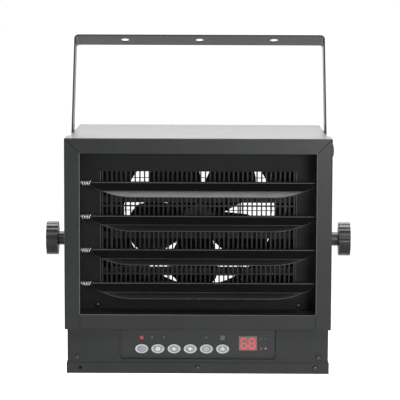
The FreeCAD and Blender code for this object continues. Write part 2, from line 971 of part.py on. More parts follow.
def make_fan():
    """A pressed axial fan: a five-sided hub with one pitched paddle blade on each side."""
    body = new_body("fan")
    hub = new_sketch(body, "fan_hub", "XZ_Plane")
    corner_turns = [math.radians(FULL_TURN / FAN_BLADES * (i + 0.5)) for i in range(FAN_BLADES)]
    radius = size.fan_hub_radius
    outline(hub, [(radius * math.sin(turn), radius * math.cos(turn)) for turn in corner_turns])
    pad(body, hub, size.fan_hub_length, both=True)
    blade = new_sketch(body, "fan_blade", "XZ_Plane")
    blade.AttachmentOffset = Placement(Vector(), Rotation(Vector(0, 1, 0), size.blade_pitch.number))
    bind(blade, "AttachmentOffset.Rotation.Angle", size.blade_pitch)
    root_share, side_share = 0.6, 0.78
    neck_share, width_share, tip_share = 0.385, 0.75, 0.423
    root = size.fan_hub_radius * root_share
    shoulder = fan_radius * side_share
    half_root = fan_radius * neck_share / 2
    half_blade = fan_radius * width_share / 2
    tip_radius = fan_radius * tip_share
    tip_centre = fan_radius - tip_radius
    rise = shoulder - tip_centre
    reach = square_root(tip_radius * tip_radius - rise * rise)
    path = [(-reach, shoulder), (-half_blade, tip_centre), (-half_root, root)]
    path += [(-x, y) for x, y in reversed(path)]
    outline_with_arc(blade, path, (0, tip_centre), tip_radius)
    first = pad(body, blade, size.blade_thickness, both=True)
    round_pattern(body, first, "Y_Axis", FAN_BLADES)
    turn = Rotation(Vector(0, 1, 0), size.fan_rest.number)
    place(body, (0, fan_front + size.fan_hub_length / 2, fan_height), turn)
    node(body, "fan")


def make_fan_motor():
    """A motor can, and the shaft that joins it to the fan's hub."""
    hub_back = fan_front + size.fan_hub_length
    shaft = cylinder(
        "motor_shaft", size.shaft_radius, motor_front - hub_back, (0, hub_back, fan_height), "y"
    )
    node(shaft, "motor_shaft")
    can = cylinder("fan_motor", size.motor_radius, size.motor_length, (0, motor_front, fan_height), "y")
    node(can, "fan_motor")


def make_motor_bracket():
    """Two level bars across the air inlet, which carry the motor by its rear face."""
    half = fan_opening + size.strap_lap
    bars = []
    for side in (-1, 1):
        low = fan_height + side * size.strap_spread - size.strap_width / 2
        extent = (half * 2, size.strap_thickness, size.strap_width)
        bars.append(box(f"motor_bar{side}", extent, (-half, strap_face, low)))
    node(group("motor_bracket", bars), "motor_bracket")


def make_rear_panel():
    body = new_body("rear_panel")
    face = new_sketch(body, "rear_face", "XZ_Plane", -rear_face)
    rectangle(face, -inner_half, size.sheet, inner_half, chamber_top)
    ring(face, fan_opening, (0, fan_height))
    half = size.bushing_width / 2 + size.running_gap
    middle = size.bushing_offset
    level = size.bushing_level
    rectangle(face, middle - half, level - half, middle + half, level + half)
    pad(body, face, size.sheet)
    node(body, "rear_panel")


def make_rear_guard():
    """A round wire guard over the air inlet: level wires and two upright stays, held by a rim."""
    wire = size.grille_wire
    half = fan_opening + size.grille_lap
    half_row = half - size.grille_end
    pitch = half_row * 2 / (GRILLE_BARS - 1)
    first = fan_height - half_row - wire / 2
    middle_bar = (GRILLE_BARS - 1) / 2
    wires = []
    for i in range(GRILLE_BARS):
        far_edge = pitch * abs(i - middle_bar) + wire / 2
        reach = square_root(half * half - far_edge * far_edge)
        wires.append(box(f"grille_wire{i}", (reach * 2, wire, wire), (-reach, rear_face, first + pitch * i)))
    layer = rear_face + wire
    rim_inside = half - wire
    far_edge = size.grille_stay + wire / 2
    reach = square_root(rim_inside * rim_inside - far_edge * far_edge)
    for side in (-1, 1):
        left = side * size.grille_stay - wire / 2
        wires.append(box(f"grille_stay{side}", (wire, wire, reach * 2), (left, layer, fan_height - reach)))
    disc = cylinder("grille_disc", half, wire, (0, layer, fan_height), "y")
    hole = cylinder(
        "grille_hole", rim_inside, wire + size.overrun * 2, (0, layer - size.overrun, fan_height), "y"
    )
    wires.append(cut("grille_rim", disc, hole))
    node(group("rear_guard", wires), "rear_guard")


def make_control_panel():
    body = new_body("control_panel")
    face = new_sketch(body, "panel_face", "XZ_Plane", -panel_back)
    top = size.bezel_base - size.panel_top_gap
    half = size.window_width / 2
    rectangle(face, -inner_half, size.sheet, inner_half, top)
    rectangle(face, -half, size.window_bottom, half, size.window_top)
    plate = pad(body, face, size.sheet)

    def window_corner(edge):
        at = edge.CenterOfMass
        low = abs(at.z - size.window_bottom.number) < size.sheet.number
        return direction(edge) == "y" and low and abs(abs(at.x) - half.number) < size.sheet.number

    smooth(body, plate, size.window_corner, window_corner)
    flange = new_sketch(body, "panel_flange", "XZ_Plane", -panel_face - size.panel_flange)
    rectangle(flange, -inner_half, top - size.sheet, inner_half, top)
    pad(body, flange, size.panel_flange)
    node(body, "control_panel")


def oval(name, half_across, half_high, length, at):
    """An upright oval prism along Y."""
    edge = doc.addObject("Part::Ellipse", name + "_edge")
    bind(edge, "MajorRadius", half_across)
    bind(edge, "MinorRadius", half_high)
    place(edge, at, TURN_TO["y"])
    prism = doc.addObject("Part::Extrusion", name)
    prism.Base = edge
    prism.DirMode = "Custom"
    prism.Dir = Vector(0, 1, 0)
    bind(prism, "LengthFwd", length)
    prism.Solid = True
    return prism


def make_control_fascia():
    """A moulded tray behind the panel's window, with holes for keys, lamp and display, and board posts."""
    over = size.overrun
    rim = size.fascia_rim
    half = size.window_width / 2
    low = size.window_bottom - rim
    high = size.window_top + size.fit_gap
    block = box(
        "fascia_block",
        ((half + rim) * 2, size.fascia_recess + size.fascia_floor, high - low),
        (-half - rim, fascia_front, low),
    )
    recess = box(
        "fascia_recess",
        (size.window_width, size.fascia_recess + over, size.window_top - size.window_bottom),
        (-half, fascia_front - over, size.window_bottom),
    )
    soft_recess = rounded(
        "fascia_soft_recess",
        recess,
        size.window_corner,
        lambda e: direction(e) == "y" and e.CenterOfMass.z < size.button_height.number,
    )
    far_post = board_width / 2 - size.board_margin - size.post_width
    post_lefts = (-far_post - size.post_width, far_post)
    post_bottoms = (
        board_bottom + size.board_margin,
        board_bottom + size.board_height - size.board_margin - size.post_width,
    )
    posts = [
        box(
            f"fascia_post{i}{k}",
            (size.post_width, size.board_standoff, size.post_width),
            (left, fascia_back, bottom),
        )
        for i, left in enumerate(post_lefts)
        for k, bottom in enumerate(post_bottoms)
    ]
    start = recess_floor - over
    through = size.fascia_floor + over * 2
    half_key = size.button_stem / 2 + size.button_gap
    keyholes = [
        box(
            f"fascia_keyhole{i}",
            (half_key * 2, through, half_key * 2),
            (x - half_key, start, size.button_height - half_key),
        )
        for i, x in enumerate(button_places)
    ]
    lamp_hole = cylinder(
        "fascia_lamp_hole",
        size.lamp_radius + size.running_gap,
        through,
        (button_first, start, size.lamp_level),
        "y",
    )
    screen = box(
        "fascia_screen",
        (size.display_width + size.fit_gap * 2, through, size.display_height + size.fit_gap * 2),
        (
            display_centre - size.display_width / 2 - size.fit_gap,
            start,
            size.display_level - size.display_height / 2 - size.fit_gap,
        ),
    )
    eye_half = size.receiver_size / 2 + size.running_gap
    eye = box(
        "fascia_eye",
        (eye_half * 2, through, eye_half * 2),
        (button_places[-1] - eye_half, start, size.lamp_level - eye_half),
    )
    moulding = fuse("fascia_moulding", block, *posts)
    node(cut("control_fascia", moulding, soft_recess, screen, eye, lamp_hole, *keyholes), "control_fascia")


def make_button(label, x):
    """An oval key cap proud of the fascia, on a square stem with a catch behind, over its switch."""
    cap_front = recess_floor - size.button_rise
    cap_back = recess_floor - size.button_travel - size.button_lost_motion
    catch_front = fascia_back + size.fit_gap
    switch_tip = board_face - size.switch_height - size.plunger_height
    stem_end = switch_tip - size.button_travel - size.button_lost_motion
    cap = oval(
        label + "_cap",
        button_half_width,
        button_half_height,
        cap_back - cap_front,
        (x, cap_front, size.button_height),
    )
    half_stem = size.button_stem / 2
    stem = box(
        label + "_stem",
        (size.button_stem, stem_end - cap_back, size.button_stem),
        (x - half_stem, cap_back, size.button_height - half_stem),
    )
    half_catch = half_stem + size.button_catch
    catch = box(
        label + "_catch",
        (half_catch * 2, size.button_catch, size.button_stem),
        (x - half_catch, catch_front, size.button_height - half_stem),
    )
    node(fuse(label, cap, stem, catch), label)


def make_display_and_lamps():
    front = recess_floor + size.display_sink
    node(
        box(
            "display_module",
            (size.display_width, board_face - front, size.display_height),
            (
                display_centre - size.display_width / 2,
                front,
                size.display_level - size.display_height / 2,
            ),
        ),
        "display_module",
    )
    lamp_front = recess_floor - size.lamp_rise
    lamp = cylinder(
        "power_led",
        size.lamp_radius,
        board_face - lamp_front,
        (button_first, lamp_front, size.lamp_level),
        "y",
    )
    node(lamp, "power_led")
    half = size.receiver_size / 2
    node(
        box(
            "ir_window",
            (size.receiver_size, board_face - recess_floor, size.receiver_size),
            (button_places[-1] - half, recess_floor, size.lamp_level - half),
        ),
        "ir_window",
    )


def make_control_board():
    half = board_width / 2
    board = box(
        "control_board",
        (board_width, size.board_thickness, size.board_height),
        (-half, board_face, board_bottom),
    )
    node(board, "control_board")
    switches = []
    half_switch = size.switch_size / 2
    half_plunger = size.plunger_size / 2
    for i, x in enumerate(button_places):
        case = box(
            f"switch_case{i}",
            (size.switch_size, size.switch_height, size.switch_size),
            (x - half_switch, board_face - size.switch_height, size.button_height - half_switch),
        )
        plunger = box(
            f"switch_plunger{i}",
            (size.plunger_size, size.plunger_height, size.plunger_size),
            (
                x - half_plunger,
                board_face - size.switch_height - size.plunger_height,
                size.button_height - half_plunger,
            ),
        )
        switches.append(fuse(f"switch{i}", case, plunger))
    node(group("tact_switches", switches), "tact_switches")
    middle = board_bottom + size.board_height / 2
    relays = [
        box(
            f"relay{column}",
            (size.relay_width, size.relay_depth, size.relay_height),
            (size.relay_spacing * column - size.relay_width / 2, board_back, middle - size.relay_height / 2),
        )
        for column in RELAY_COLUMNS
    ]
    node(group("power_relays", relays), "power_relays")


def make_terminal_block():
    """A barrier strip for the supply wires, on the floor of the pan near the cable bushing."""
    left = size.bushing_offset - size.terminal_width / 2
    front = rear_inside - size.terminal_inset - size.terminal_depth
    base = box(
        "terminal_base",
        (size.terminal_width, size.terminal_depth, size.terminal_step),
        (left, front, size.sheet),
    )
    pitch = (size.terminal_width - size.terminal_wall) / TERMINAL_POLES
    walls = [
        box(
            f"terminal_wall{i}",
            (size.terminal_wall, size.terminal_depth, size.terminal_height),
            (left + pitch * i, front, size.sheet),
        )
        for i in range(TERMINAL_POLES + 1)
    ]
    clamps = [
        box(
            f"terminal_clamp{i}",
            (pitch - size.terminal_wall, size.terminal_slot, size.terminal_step + size.terminal_wall),
            (
                left + pitch * i + size.terminal_wall,
                front + (size.terminal_depth - size.terminal_slot) / 2,
                size.sheet,
            ),
        )
        for i in range(TERMINAL_POLES)
    ]
    node(fuse("terminal_block", base, *walls, *clamps), "terminal_block")


def make_cable_bushing():
    """A snap-in bushing for a flat supply cable in the rear panel: flange outside, square neck inside."""
    half_neck = size.bushing_width / 2
    half_flange = size.bushing_flange / 2
    x = size.bushing_offset
    z = size.bushing_level
    neck = box(
        "bushing_neck",
        (size.bushing_width, size.bushing_depth, size.bushing_width),
        (x - half_neck, rear_face - size.bushing_depth, z - half_neck),
    )
    flange = box(
        "bushing_flange",
        (size.bushing_flange, size.bushing_rise, size.bushing_flange),
        (x - half_flange, rear_face, z - half_flange),
    )
    slot = box(
        "bushing_slot",
        (
            size.bushing_slot_width,
            size.bushing_depth + size.bushing_rise + size.overrun * 2,
            size.bushing_slot_height,
        ),
        (
            x - size.bushing_slot_width / 2,
            rear_face - size.bushing_depth - size.overrun,
            z - size.bushing_slot_height / 2,
        ),
    )
    node(cut("cable_bushing", fuse("bushing_block", neck, flange), slot), "cable_bushing")


def make_mounting_bracket():
    """A bent strap over the cabinet, hung on the tilt studs and leaning back at rest."""
    body = new_body("mounting_bracket")
    profile = new_sketch(body, "bracket_profile", "XZ_Plane")
    low = -size.bracket_strip / 2
    top = size.bracket_leg
    under = top - size.bracket_sheet
    outline(
        profile,
        [
            (-bracket_outer, low),
            (-bracket_outer, top),
            (bracket_outer, top),
            (bracket_outer, low),
            (bracket_inner, low),
            (bracket_inner, under),
            (-bracket_inner, under),
            (-bracket_inner, low),
        ],
    )
    strap = pad(body, profile, size.bracket_strip, both=True)
    near = size.overrun.number / 2
    bends = smooth(
        body,
        strap,
        size.bracket_bend,
        lambda e: direction(e) == "y" and abs(e.CenterOfMass.z - under.number) < near,
    )
    outer_bends = smooth(
        body,
        bends,
        size.bracket_bend + size.bracket_sheet,
        lambda e: direction(e) == "y" and abs(e.CenterOfMass.z - top.number) < near,
    )
    end_share = 0.48
    smooth(
        body,
        outer_bends,
        size.bracket_strip * end_share,
        lambda e: direction(e) == "x" and abs(e.CenterOfMass.z - low.number) < near,
    )
    pivots = new_sketch(body, "bracket_pivots", "YZ_Plane")
    ring(pivots, stud_hole)
    pocket(body, pivots)
    holes = new_sketch(body, "bracket_holes", "XY_Plane")
    for column in (-1, 0, 1):
        ring(holes, size.bracket_hole, (size.bracket_hole_spacing * column, 0))
    pocket(body, holes)
    place(body, (0, tilt_axis, tilt_height), Rotation(Vector(-1, 0, 0), size.bracket_lean.number))
    bind(body, "Placement.Rotation.Angle", size.bracket_lean)
    node(body, "mounting_bracket")


def make_knob(label, side):
    """A lobed hand knob: round head with flutes, and a collar that clamps the strap."""
    body = new_body(label)
    profile = new_sketch(body, label + "_profile", "XY_Plane")
    head = size.knob_collar_length
    end = head + size.knob_length
    outline(
        profile,
        [
            (0, 0),
            (0, size.knob_collar_radius),
            (head, size.knob_collar_radius),
            (head, size.knob_radius),
            (end, size.knob_radius),
            (end, 0),
        ],
    )
    revolve(body, profile, "H_Axis")
    flute = new_sketch(body, label + "_flute", "YZ_Plane")
    ring(flute, size.flute_radius, (0, size.knob_radius + size.flute_offset))
    first = pocket(body, flute)
    round_pattern(body, first, "X_Axis", KNOB_FLUTES)
    turn = Rotation() if side > 0 else BACKWARDS
    place(body, (side * knob_seat, tilt_axis, tilt_height), turn)
    node(body, label)


def make_clamp(name, side):
    """The stud of a knob, and the square weld nut inside the side wall that takes it."""
    inner = inside_half - size.nut_thickness
    start = inner if side > 0 else -knob_seat
    stud = cylinder(
        f"knob_stud_{name}", size.stud_radius, knob_seat - inner, (start, tilt_axis, tilt_height), "x"
    )
    node(stud, f"knob_stud_{name}")
    half = size.nut_width / 2
    left = inner if side > 0 else -inside_half
    block = box(
        f"nut_block_{name}",
        (size.nut_thickness, size.nut_width, size.nut_width),
        (left, tilt_axis - half, tilt_height - half),
    )
    way = cylinder(
        f"nut_way_{name}",
        stud_hole,
        size.nut_thickness + size.overrun * 2,
        (left - size.overrun, tilt_axis, tilt_height),
        "x",
    )
    return cut(f"weld_nut_{name}", block, way)


make_cabinet_wrap()
make_bottom_pan()
make_bezel_hood()
make_bezel_bottom_rail()
make_side_plug()
for number, louver_level in enumerate(louver_levels, start=1):
    make_louver_blade(f"louver_blade_{number}", louver_level)
make_louver_springs()
make_outlet_plate()
make_outlet_guard()
make_divider_shelf()
for number, element_level in enumerate(element_levels, start=1):
    make_heating_element(f"heating_element_{number}", element_level)
make_element_bracket("element_bracket_left", -1)
make_element_bracket("element_bracket_right", 1)
make_thermal_cutout()
make_fan_shroud()
make_fan()
make_fan_motor()
make_motor_bracket()
make_rear_panel()
make_rear_guard()
make_control_panel()
make_control_fascia()
for button_name, button_place in zip(BUTTON_NAMES, button_places):
    make_button(f"{button_name}_button", button_place)
make_display_and_lamps()
make_control_board()
make_terminal_block()
make_cable_bushing()
make_mounting_bracket()
weld_nuts = []
for side_name, side_sign in (("left", -1), ("right", 1)):
    make_knob(f"knob_{side_name}", side_sign)
    weld_nuts.append(make_clamp(side_name, side_sign))
node(group("tilt_nuts", weld_nuts), "tilt_nuts")
doc.recompute()

failed = [item.Label for item in doc.Objects if {"Invalid", "Error"} & set(item.State)]
broken = [label for label, item in nodes.items() if item.Shape.isNull() or not item.Shape.isValid()]
if failed or broken:
    raise RuntimeError(f"failed objects {failed}, broken shapes {broken}")

os.makedirs("parts", exist_ok=True)
for label, item in nodes.items():
    item.Shape.exportStep(f"parts/{label}.step")
print(f"{len(nodes)} nodes written")
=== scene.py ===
import json
import math

import bmesh
import bpy
from mathutils import Matrix, Vector


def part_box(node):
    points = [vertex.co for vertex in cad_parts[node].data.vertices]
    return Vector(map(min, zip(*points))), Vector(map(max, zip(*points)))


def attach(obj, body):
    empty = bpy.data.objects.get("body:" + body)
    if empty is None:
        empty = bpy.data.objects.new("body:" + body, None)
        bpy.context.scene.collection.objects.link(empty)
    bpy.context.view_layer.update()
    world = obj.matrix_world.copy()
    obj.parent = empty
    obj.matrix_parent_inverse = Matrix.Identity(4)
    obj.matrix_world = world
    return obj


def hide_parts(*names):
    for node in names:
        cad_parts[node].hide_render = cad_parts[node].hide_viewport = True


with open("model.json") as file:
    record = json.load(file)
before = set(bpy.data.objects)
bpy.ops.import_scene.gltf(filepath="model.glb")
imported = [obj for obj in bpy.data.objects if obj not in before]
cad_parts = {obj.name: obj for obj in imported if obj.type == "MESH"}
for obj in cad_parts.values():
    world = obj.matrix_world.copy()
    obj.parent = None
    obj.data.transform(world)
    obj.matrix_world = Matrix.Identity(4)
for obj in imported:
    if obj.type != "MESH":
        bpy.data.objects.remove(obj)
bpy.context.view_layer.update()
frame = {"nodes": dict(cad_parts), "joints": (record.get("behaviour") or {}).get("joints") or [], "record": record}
scene = bpy.context.scene
scene.view_settings.view_transform = "Standard"

MM = 0.001
FULL_TURN = 2 * math.pi
FRONT = Vector((0, -1, 0))
BACK = Vector((0, 1, 0))
RIGHT = Vector((1, 0, 0))
UP = Vector((0, 0, 1))
SIDES = (-1, 1)
WHITE = (1, 1, 1, 1)

# Camera at the photograph's viewing angle

IMAGE_PIXELS = 400
FOCAL_PIXELS = 2000
SENSOR_WIDTH = 36
PITCH_DOWN = math.radians(6.371)
YAW = math.radians(-0.3)
ROLL = math.radians(0.192)
CAMERA_PLACE = Vector((16.29, -2782.52, 531.8)) * MM


def make_camera():
    ahead = math.cos(PITCH_DOWN)
    forward = Vector((math.sin(YAW) * ahead, math.cos(YAW) * ahead, -math.sin(PITCH_DOWN)))
    level = Vector((math.cos(YAW), -math.sin(YAW), 0))
    upright = level.cross(forward)
    across = level * math.cos(ROLL) + upright * math.sin(ROLL)
    upward = upright * math.cos(ROLL) - level * math.sin(ROLL)
    data = bpy.data.cameras.new("camera")
    data.sensor_width = SENSOR_WIDTH
    data.lens = SENSOR_WIDTH * FOCAL_PIXELS / IMAGE_PIXELS
    camera = bpy.data.objects.new("camera", data)
    turn = Matrix((across, upward, -forward)).transposed().to_4x4()
    camera.matrix_world = Matrix.Translation(CAMERA_PLACE) @ turn
    scene.collection.objects.link(camera)
    scene.camera = camera


# Studio: white surroundings, a pale floor below the hung heater, and soft lamps

FLOOR_LEVEL = -0.32
FLOOR_SPAN = 60
FLOOR_TONE = (0.85, 0.85, 0.85, 1)
FLOOR_ROUGH = 0.9
WORLD_FILL = 0.14
SHADOW_GLOW = 0.15
FLOOR_GLOW = 0.95
SHADOW_REACH = 0.45
CLEAR_REACH = 1.25

# Place, target and span in metres, and power in watts
LAMPS = {
    "overhead_lamp": ((0.05, 0.17, 1.45), (0.05, 0.1, 0.2), (1.2, 0.66), 28),
    "front_lamp": ((0.62, -2.4, 0.42), (0, -0.15, 0.2), (0.5, 0.5), 20),
    "strip_lamp": ((0.1, -1.6, 1.3), (0, -0.15, 0.2), (1.2, 0.25), 8),
    "back_lamp": ((-0.1, 1.7, 1.2), (0, 0.1, 0.2), (1.2, 1.0), 12),
    "left_lamp": ((-2.4, 1.0, 0.8), (-0.18, 0.05, 0.2), (0.8, 0.8), 12),
    "right_lamp": ((2.4, 1.0, 0.8), (0.18, 0.05, 0.2), (0.8, 0.8), 12),
}


def put(item, amounts):
    for name, amount in amounts.items():
        item.inputs[name].default_value = amount


def add_node(tree, kind, amounts=None, **settings):
    item = tree.nodes.new(kind)
    for name, setting in settings.items():
        setattr(item, name, setting)
    put(item, amounts or {})
    return item


def seen_directly(tree):
    """One where a camera, mirror or glass ray arrives, zero for the light that falls on surfaces."""
    path = add_node(tree, "ShaderNodeLightPath")
    total = path.outputs["Is Camera Ray"]
    for name in ("Is Glossy Ray", "Is Transmission Ray"):
        most = add_node(tree, "ShaderNodeMath", operation="MAXIMUM")
        tree.links.new(total, most.inputs[0])
        tree.links.new(path.outputs[name], most.inputs[1])
        total = most.outputs[0]
    return total


def make_world():
    world = bpy.data.worlds.new("studio")
    scene.world = world
    world.use_nodes = True
    tree = world.node_tree
    background = tree.nodes["Background"]
    put(background, {"Color": WHITE})
    strength = add_node(tree, "ShaderNodeMapRange", {"To Min": WORLD_FILL, "To Max": 1})
    tree.links.new(seen_directly(tree), strength.inputs["Value"])
    tree.links.new(strength.outputs["Result"], background.inputs["Strength"])


def make_floor():
    """Paper that glows where it is bare, and less under the heater, so that the shadow shows."""
    bm = bmesh.new()
    bmesh.ops.create_grid(bm, x_segments=1, y_segments=1, size=FLOOR_SPAN / 2)
    data = bpy.data.meshes.new("floor")
    bm.to_mesh(data)
    bm.free()
    floor = bpy.data.objects.new("floor", data)
    floor.location.z = FLOOR_LEVEL
    scene.collection.objects.link(floor)
    material, tree, shader = new_material("floor_paper")
    put(shader, {"Base Color": FLOOR_TONE, "Roughness": FLOOR_ROUGH})
    put(shader, {"Specular IOR Level": 0, "Emission Color": WHITE})
    spot = add_node(tree, "ShaderNodeTexCoord")
    distance = add_node(tree, "ShaderNodeVectorMath", operation="LENGTH")
    tree.links.new(spot.outputs["Object"], distance.inputs[0])
    spans = {"From Min": SHADOW_REACH, "From Max": CLEAR_REACH, "To Min": SHADOW_GLOW, "To Max": FLOOR_GLOW}
    glow = add_node(tree, "ShaderNodeMapRange", spans, interpolation_type="SMOOTHSTEP")
    tree.links.new(distance.outputs["Value"], glow.inputs["Value"])
    strength = add_node(tree, "ShaderNodeMath", operation="MULTIPLY")
    tree.links.new(glow.outputs["Result"], strength.inputs[0])
    tree.links.new(seen_directly(tree), strength.inputs[1])
    tree.links.new(strength.outputs[0], shader.inputs["Emission Strength"])
    data.materials.append(material)


def make_studio_lamps():
    for name, (place, target, span, power) in LAMPS.items():
        data = bpy.data.lights.new(name, "AREA")
        data.shape = "RECTANGLE"
        data.size, data.size_y = span
        data.energy = power
        lamp = bpy.data.objects.new(name, data)
        lamp.location = place
        lamp.rotation_euler = (Vector(target) - Vector(place)).to_track_quat("-Z", "Y").to_euler()
        scene.collection.objects.link(lamp)


# Materials. Scales are in waves per metre, and depths of relief in metres. Tones are pairs of a place
# along the noise and a factor on the colour. Spreads are shares of the roughness, up and down.

NOISE_DETAIL = 3
GRAIN_DETAIL = 2
EVEN = (1, 1, 1)

COAT_SHINE = 0.22
COAT_RELIEF = 0.12
COAT_GRAIN = 900
FINE_GRAIN = 1500
COAT_CLOUDS = 14
COAT_GLOSS = 60
COAT_TONES = ((0.3, 0.88), (0.7, 1.12))
COAT_SPREAD = 0.15
COAT_DEPTH = 0.0002

MOULD_SHINE = 0.4
MOULD_RELIEF = 0.25
MOULD_GRAIN = 2600
MOULD_CLOUDS = 220
MOULD_GLOSS = 120
MOULD_TONES = ((0.35, 0.9), (0.65, 1.1))
MOULD_SPREAD = 0.15
MOULD_DEPTH = 0.00008

METAL_STREAKS = 260
METAL_FINE = 700
METAL_BROAD = 120
METAL_DETAIL = 4
METAL_TONES = ((0.3, 0.82), (0.7, 1.1))
METAL_SPREAD = 0.25
METAL_RELIEF = 0.08
METAL_DEPTH = 0.0001

SPANGLE_SCALE = 140
SPANGLE_RAMP = [(0.1, (0.34, 0.35, 0.36)), (0.9, (0.52, 0.53, 0.54))]
SPANGLE_GLOSS = (0.32, 0.5)

HEATED_METALLIC = 0.4
HEATED_SHINE = 0.2
HEATED_SCALE = 24
HEATED_DETAIL = 5
HEATED_RAMP = [(0.3, (0.018, 0.018, 0.02)), (0.5, (0.034, 0.03, 0.026)), (0.7, (0.022, 0.024, 0.032))]
HEATED_GLOSS_SCALE = 300
HEATED_GLOSS = (0.5, 0.7)

TRACK_SIZES = {"Scale": 160, "Mortar Size": 0.06}
TRACK_TONES = {
    "Color1": (0.015, 0.09, 0.035, 1),
    "Color2": (0.02, 0.11, 0.045, 1),
    "Mortar": (0.05, 0.2, 0.09, 1),
}
TRACK_GLOSS = (0.25, 0.35)
TRACK_RELIEF = 0.2
TRACK_DEPTH = 0.00005

LIT_PATCHES = 900
LIT_TONES = ((0.25, 0.8), (0.75, 1.0))
LIT_ROUGH = 0.3


def new_material(name):
    material = bpy.data.materials.new(name)
    material.use_nodes = True
    tree = material.node_tree
    return material, tree, tree.nodes["Principled BSDF"]


def place_in(tree, stretch=EVEN):
    """Coordinates fixed to the piece, in metres, stretched along its axes."""
    spot = add_node(tree, "ShaderNodeTexCoord")
    mapping = add_node(tree, "ShaderNodeMapping", {"Scale": stretch})
    tree.links.new(spot.outputs["Object"], mapping.inputs["Vector"])
    return mapping.outputs["Vector"]


def noise(tree, where, scale, detail=NOISE_DETAIL):
    item = add_node(tree, "ShaderNodeTexNoise", {"Scale": scale, "Detail": detail})
    tree.links.new(where, item.inputs["Vector"])
    return item.outputs["Fac"]


def ramp(tree, share, stops):
    """Colours along a share: a list of place and colour."""
    item = add_node(tree, "ShaderNodeValToRGB")
    marks = item.color_ramp.elements
    marks[0].position, marks[0].color = stops[0][0], (*stops[0][1], 1)
    marks[1].position, marks[1].color = stops[-1][0], (*stops[-1][1], 1)
    for at, colour in stops[1:-1]:
        marks.new(at).color = (*colour, 1)
    tree.links.new(share, item.inputs["Fac"])
    return item.outputs["Color"]


def scaled(colour, factor):
    return tuple(channel * factor for channel in colour)


def tones_of(tree, share, colour, tones):
    return ramp(tree, share, [(at, scaled(colour, factor)) for at, factor in tones])


def span_of(tree, share, low, high):
    item = add_node(tree, "ShaderNodeMapRange", {"To Min": low, "To Max": high})
    tree.links.new(share, item.inputs["Value"])
    return item.outputs["Result"]


def gloss_of(tree, share, rough, spread):
    return span_of(tree, share, rough * (1 - spread), rough * (1 + spread))


def paint_with(tree, shader, tone, gloss):
    tree.links.new(tone, shader.inputs["Base Color"])
    tree.links.new(gloss, shader.inputs["Roughness"])


def bump(tree, shader, height, strength, depth):
    item = add_node(tree, "ShaderNodeBump", {"Strength": strength, "Distance": depth})
    tree.links.new(height, item.inputs["Height"])
    tree.links.new(item.outputs["Normal"], shader.inputs["Normal"])


def coat(name, colour, rough, grain=COAT_GRAIN, relief=COAT_RELIEF, shine=COAT_SHINE):
    """Powder coat: a faint cloudiness, an uneven gloss, and fine orange peel."""
    material, tree, shader = new_material(name)
    where = place_in(tree)
    tone = tones_of(tree, noise(tree, where, COAT_CLOUDS), colour, COAT_TONES)
    paint_with(tree, shader, tone, gloss_of(tree, noise(tree, where, COAT_GLOSS), rough, COAT_SPREAD))
    put(shader, {"Specular IOR Level": shine})
    bump(tree, shader, noise(tree, where, grain, GRAIN_DETAIL), relief, COAT_DEPTH)
    return material


def moulding(name, colour, rough, relief=MOULD_RELIEF, shine=MOULD_SHINE):
    """Moulded plastic with a fine spark-eroded grain."""
    material, tree, shader = new_material(name)
    where = place_in(tree)
    tone = tones_of(tree, noise(tree, where, MOULD_CLOUDS), colour, MOULD_TONES)
    paint_with(tree, shader, tone, gloss_of(tree, noise(tree, where, MOULD_GLOSS), rough, MOULD_SPREAD))
    put(shader, {"Specular IOR Level": shine})
    bump(tree, shader, noise(tree, where, MOULD_GRAIN, GRAIN_DETAIL), relief, MOULD_DEPTH)
    return material


def bright_metal(name, colour, rough, stretch=EVEN, streaks=METAL_STREAKS, metallic=1.0):
    """Drawn or rolled metal: streaks along one axis in tone, gloss and relief."""
    material, tree, shader = new_material(name)
    put(shader, {"Metallic": metallic})
    lines = noise(tree, place_in(tree, stretch), streaks, METAL_DETAIL)
    tone = tones_of(tree, lines, colour, METAL_TONES)
    paint_with(tree, shader, tone, gloss_of(tree, lines, rough, METAL_SPREAD))
    bump(tree, shader, lines, METAL_RELIEF, METAL_DEPTH)
    return material


def zinc_sheet(name):
    """Zinc-coated sheet with its spangle of flat crystals."""
    material, tree, shader = new_material(name)
    put(shader, {"Metallic": 1})
    crystals = add_node(tree, "ShaderNodeTexVoronoi", {"Scale": SPANGLE_SCALE})
    tree.links.new(place_in(tree), crystals.inputs["Vector"])
    grey = add_node(tree, "ShaderNodeRGBToBW")
    tree.links.new(crystals.outputs["Color"], grey.inputs["Color"])
    share = grey.outputs["Val"]
    paint_with(tree, shader, ramp(tree, share, SPANGLE_RAMP), span_of(tree, share, *SPANGLE_GLOSS))
    return material


def heated_metal(name):
    """Finned element steel, blackened and faintly straw and blue from heat."""
    material, tree, shader = new_material(name)
    put(shader, {"Metallic": HEATED_METALLIC, "Specular IOR Level": HEATED_SHINE})
    where = place_in(tree)
    tone = ramp(tree, noise(tree, where, HEATED_SCALE, HEATED_DETAIL), HEATED_RAMP)
    paint_with(tree, shader, tone, span_of(tree, noise(tree, where, HEATED_GLOSS_SCALE), *HEATED_GLOSS))
    return material


def circuit_board(name):
    """Solder-masked board with lighter copper tracks under the mask."""
    material, tree, shader = new_material(name)
    tracks = add_node(tree, "ShaderNodeTexBrick", {**TRACK_SIZES, **TRACK_TONES})
    spot = add_node(tree, "ShaderNodeTexCoord")
    turn = add_node(tree, "ShaderNodeMapping", {"Rotation": (math.radians(90), 0, 0)})
    tree.links.new(spot.outputs["Object"], turn.inputs["Vector"])
    tree.links.new(turn.outputs["Vector"], tracks.inputs["Vector"])
    share = tracks.outputs["Fac"]
    paint_with(tree, shader, tracks.outputs["Color"], span_of(tree, share, *TRACK_GLOSS))
    bump(tree, shader, share, TRACK_RELIEF, TRACK_DEPTH)
    return material


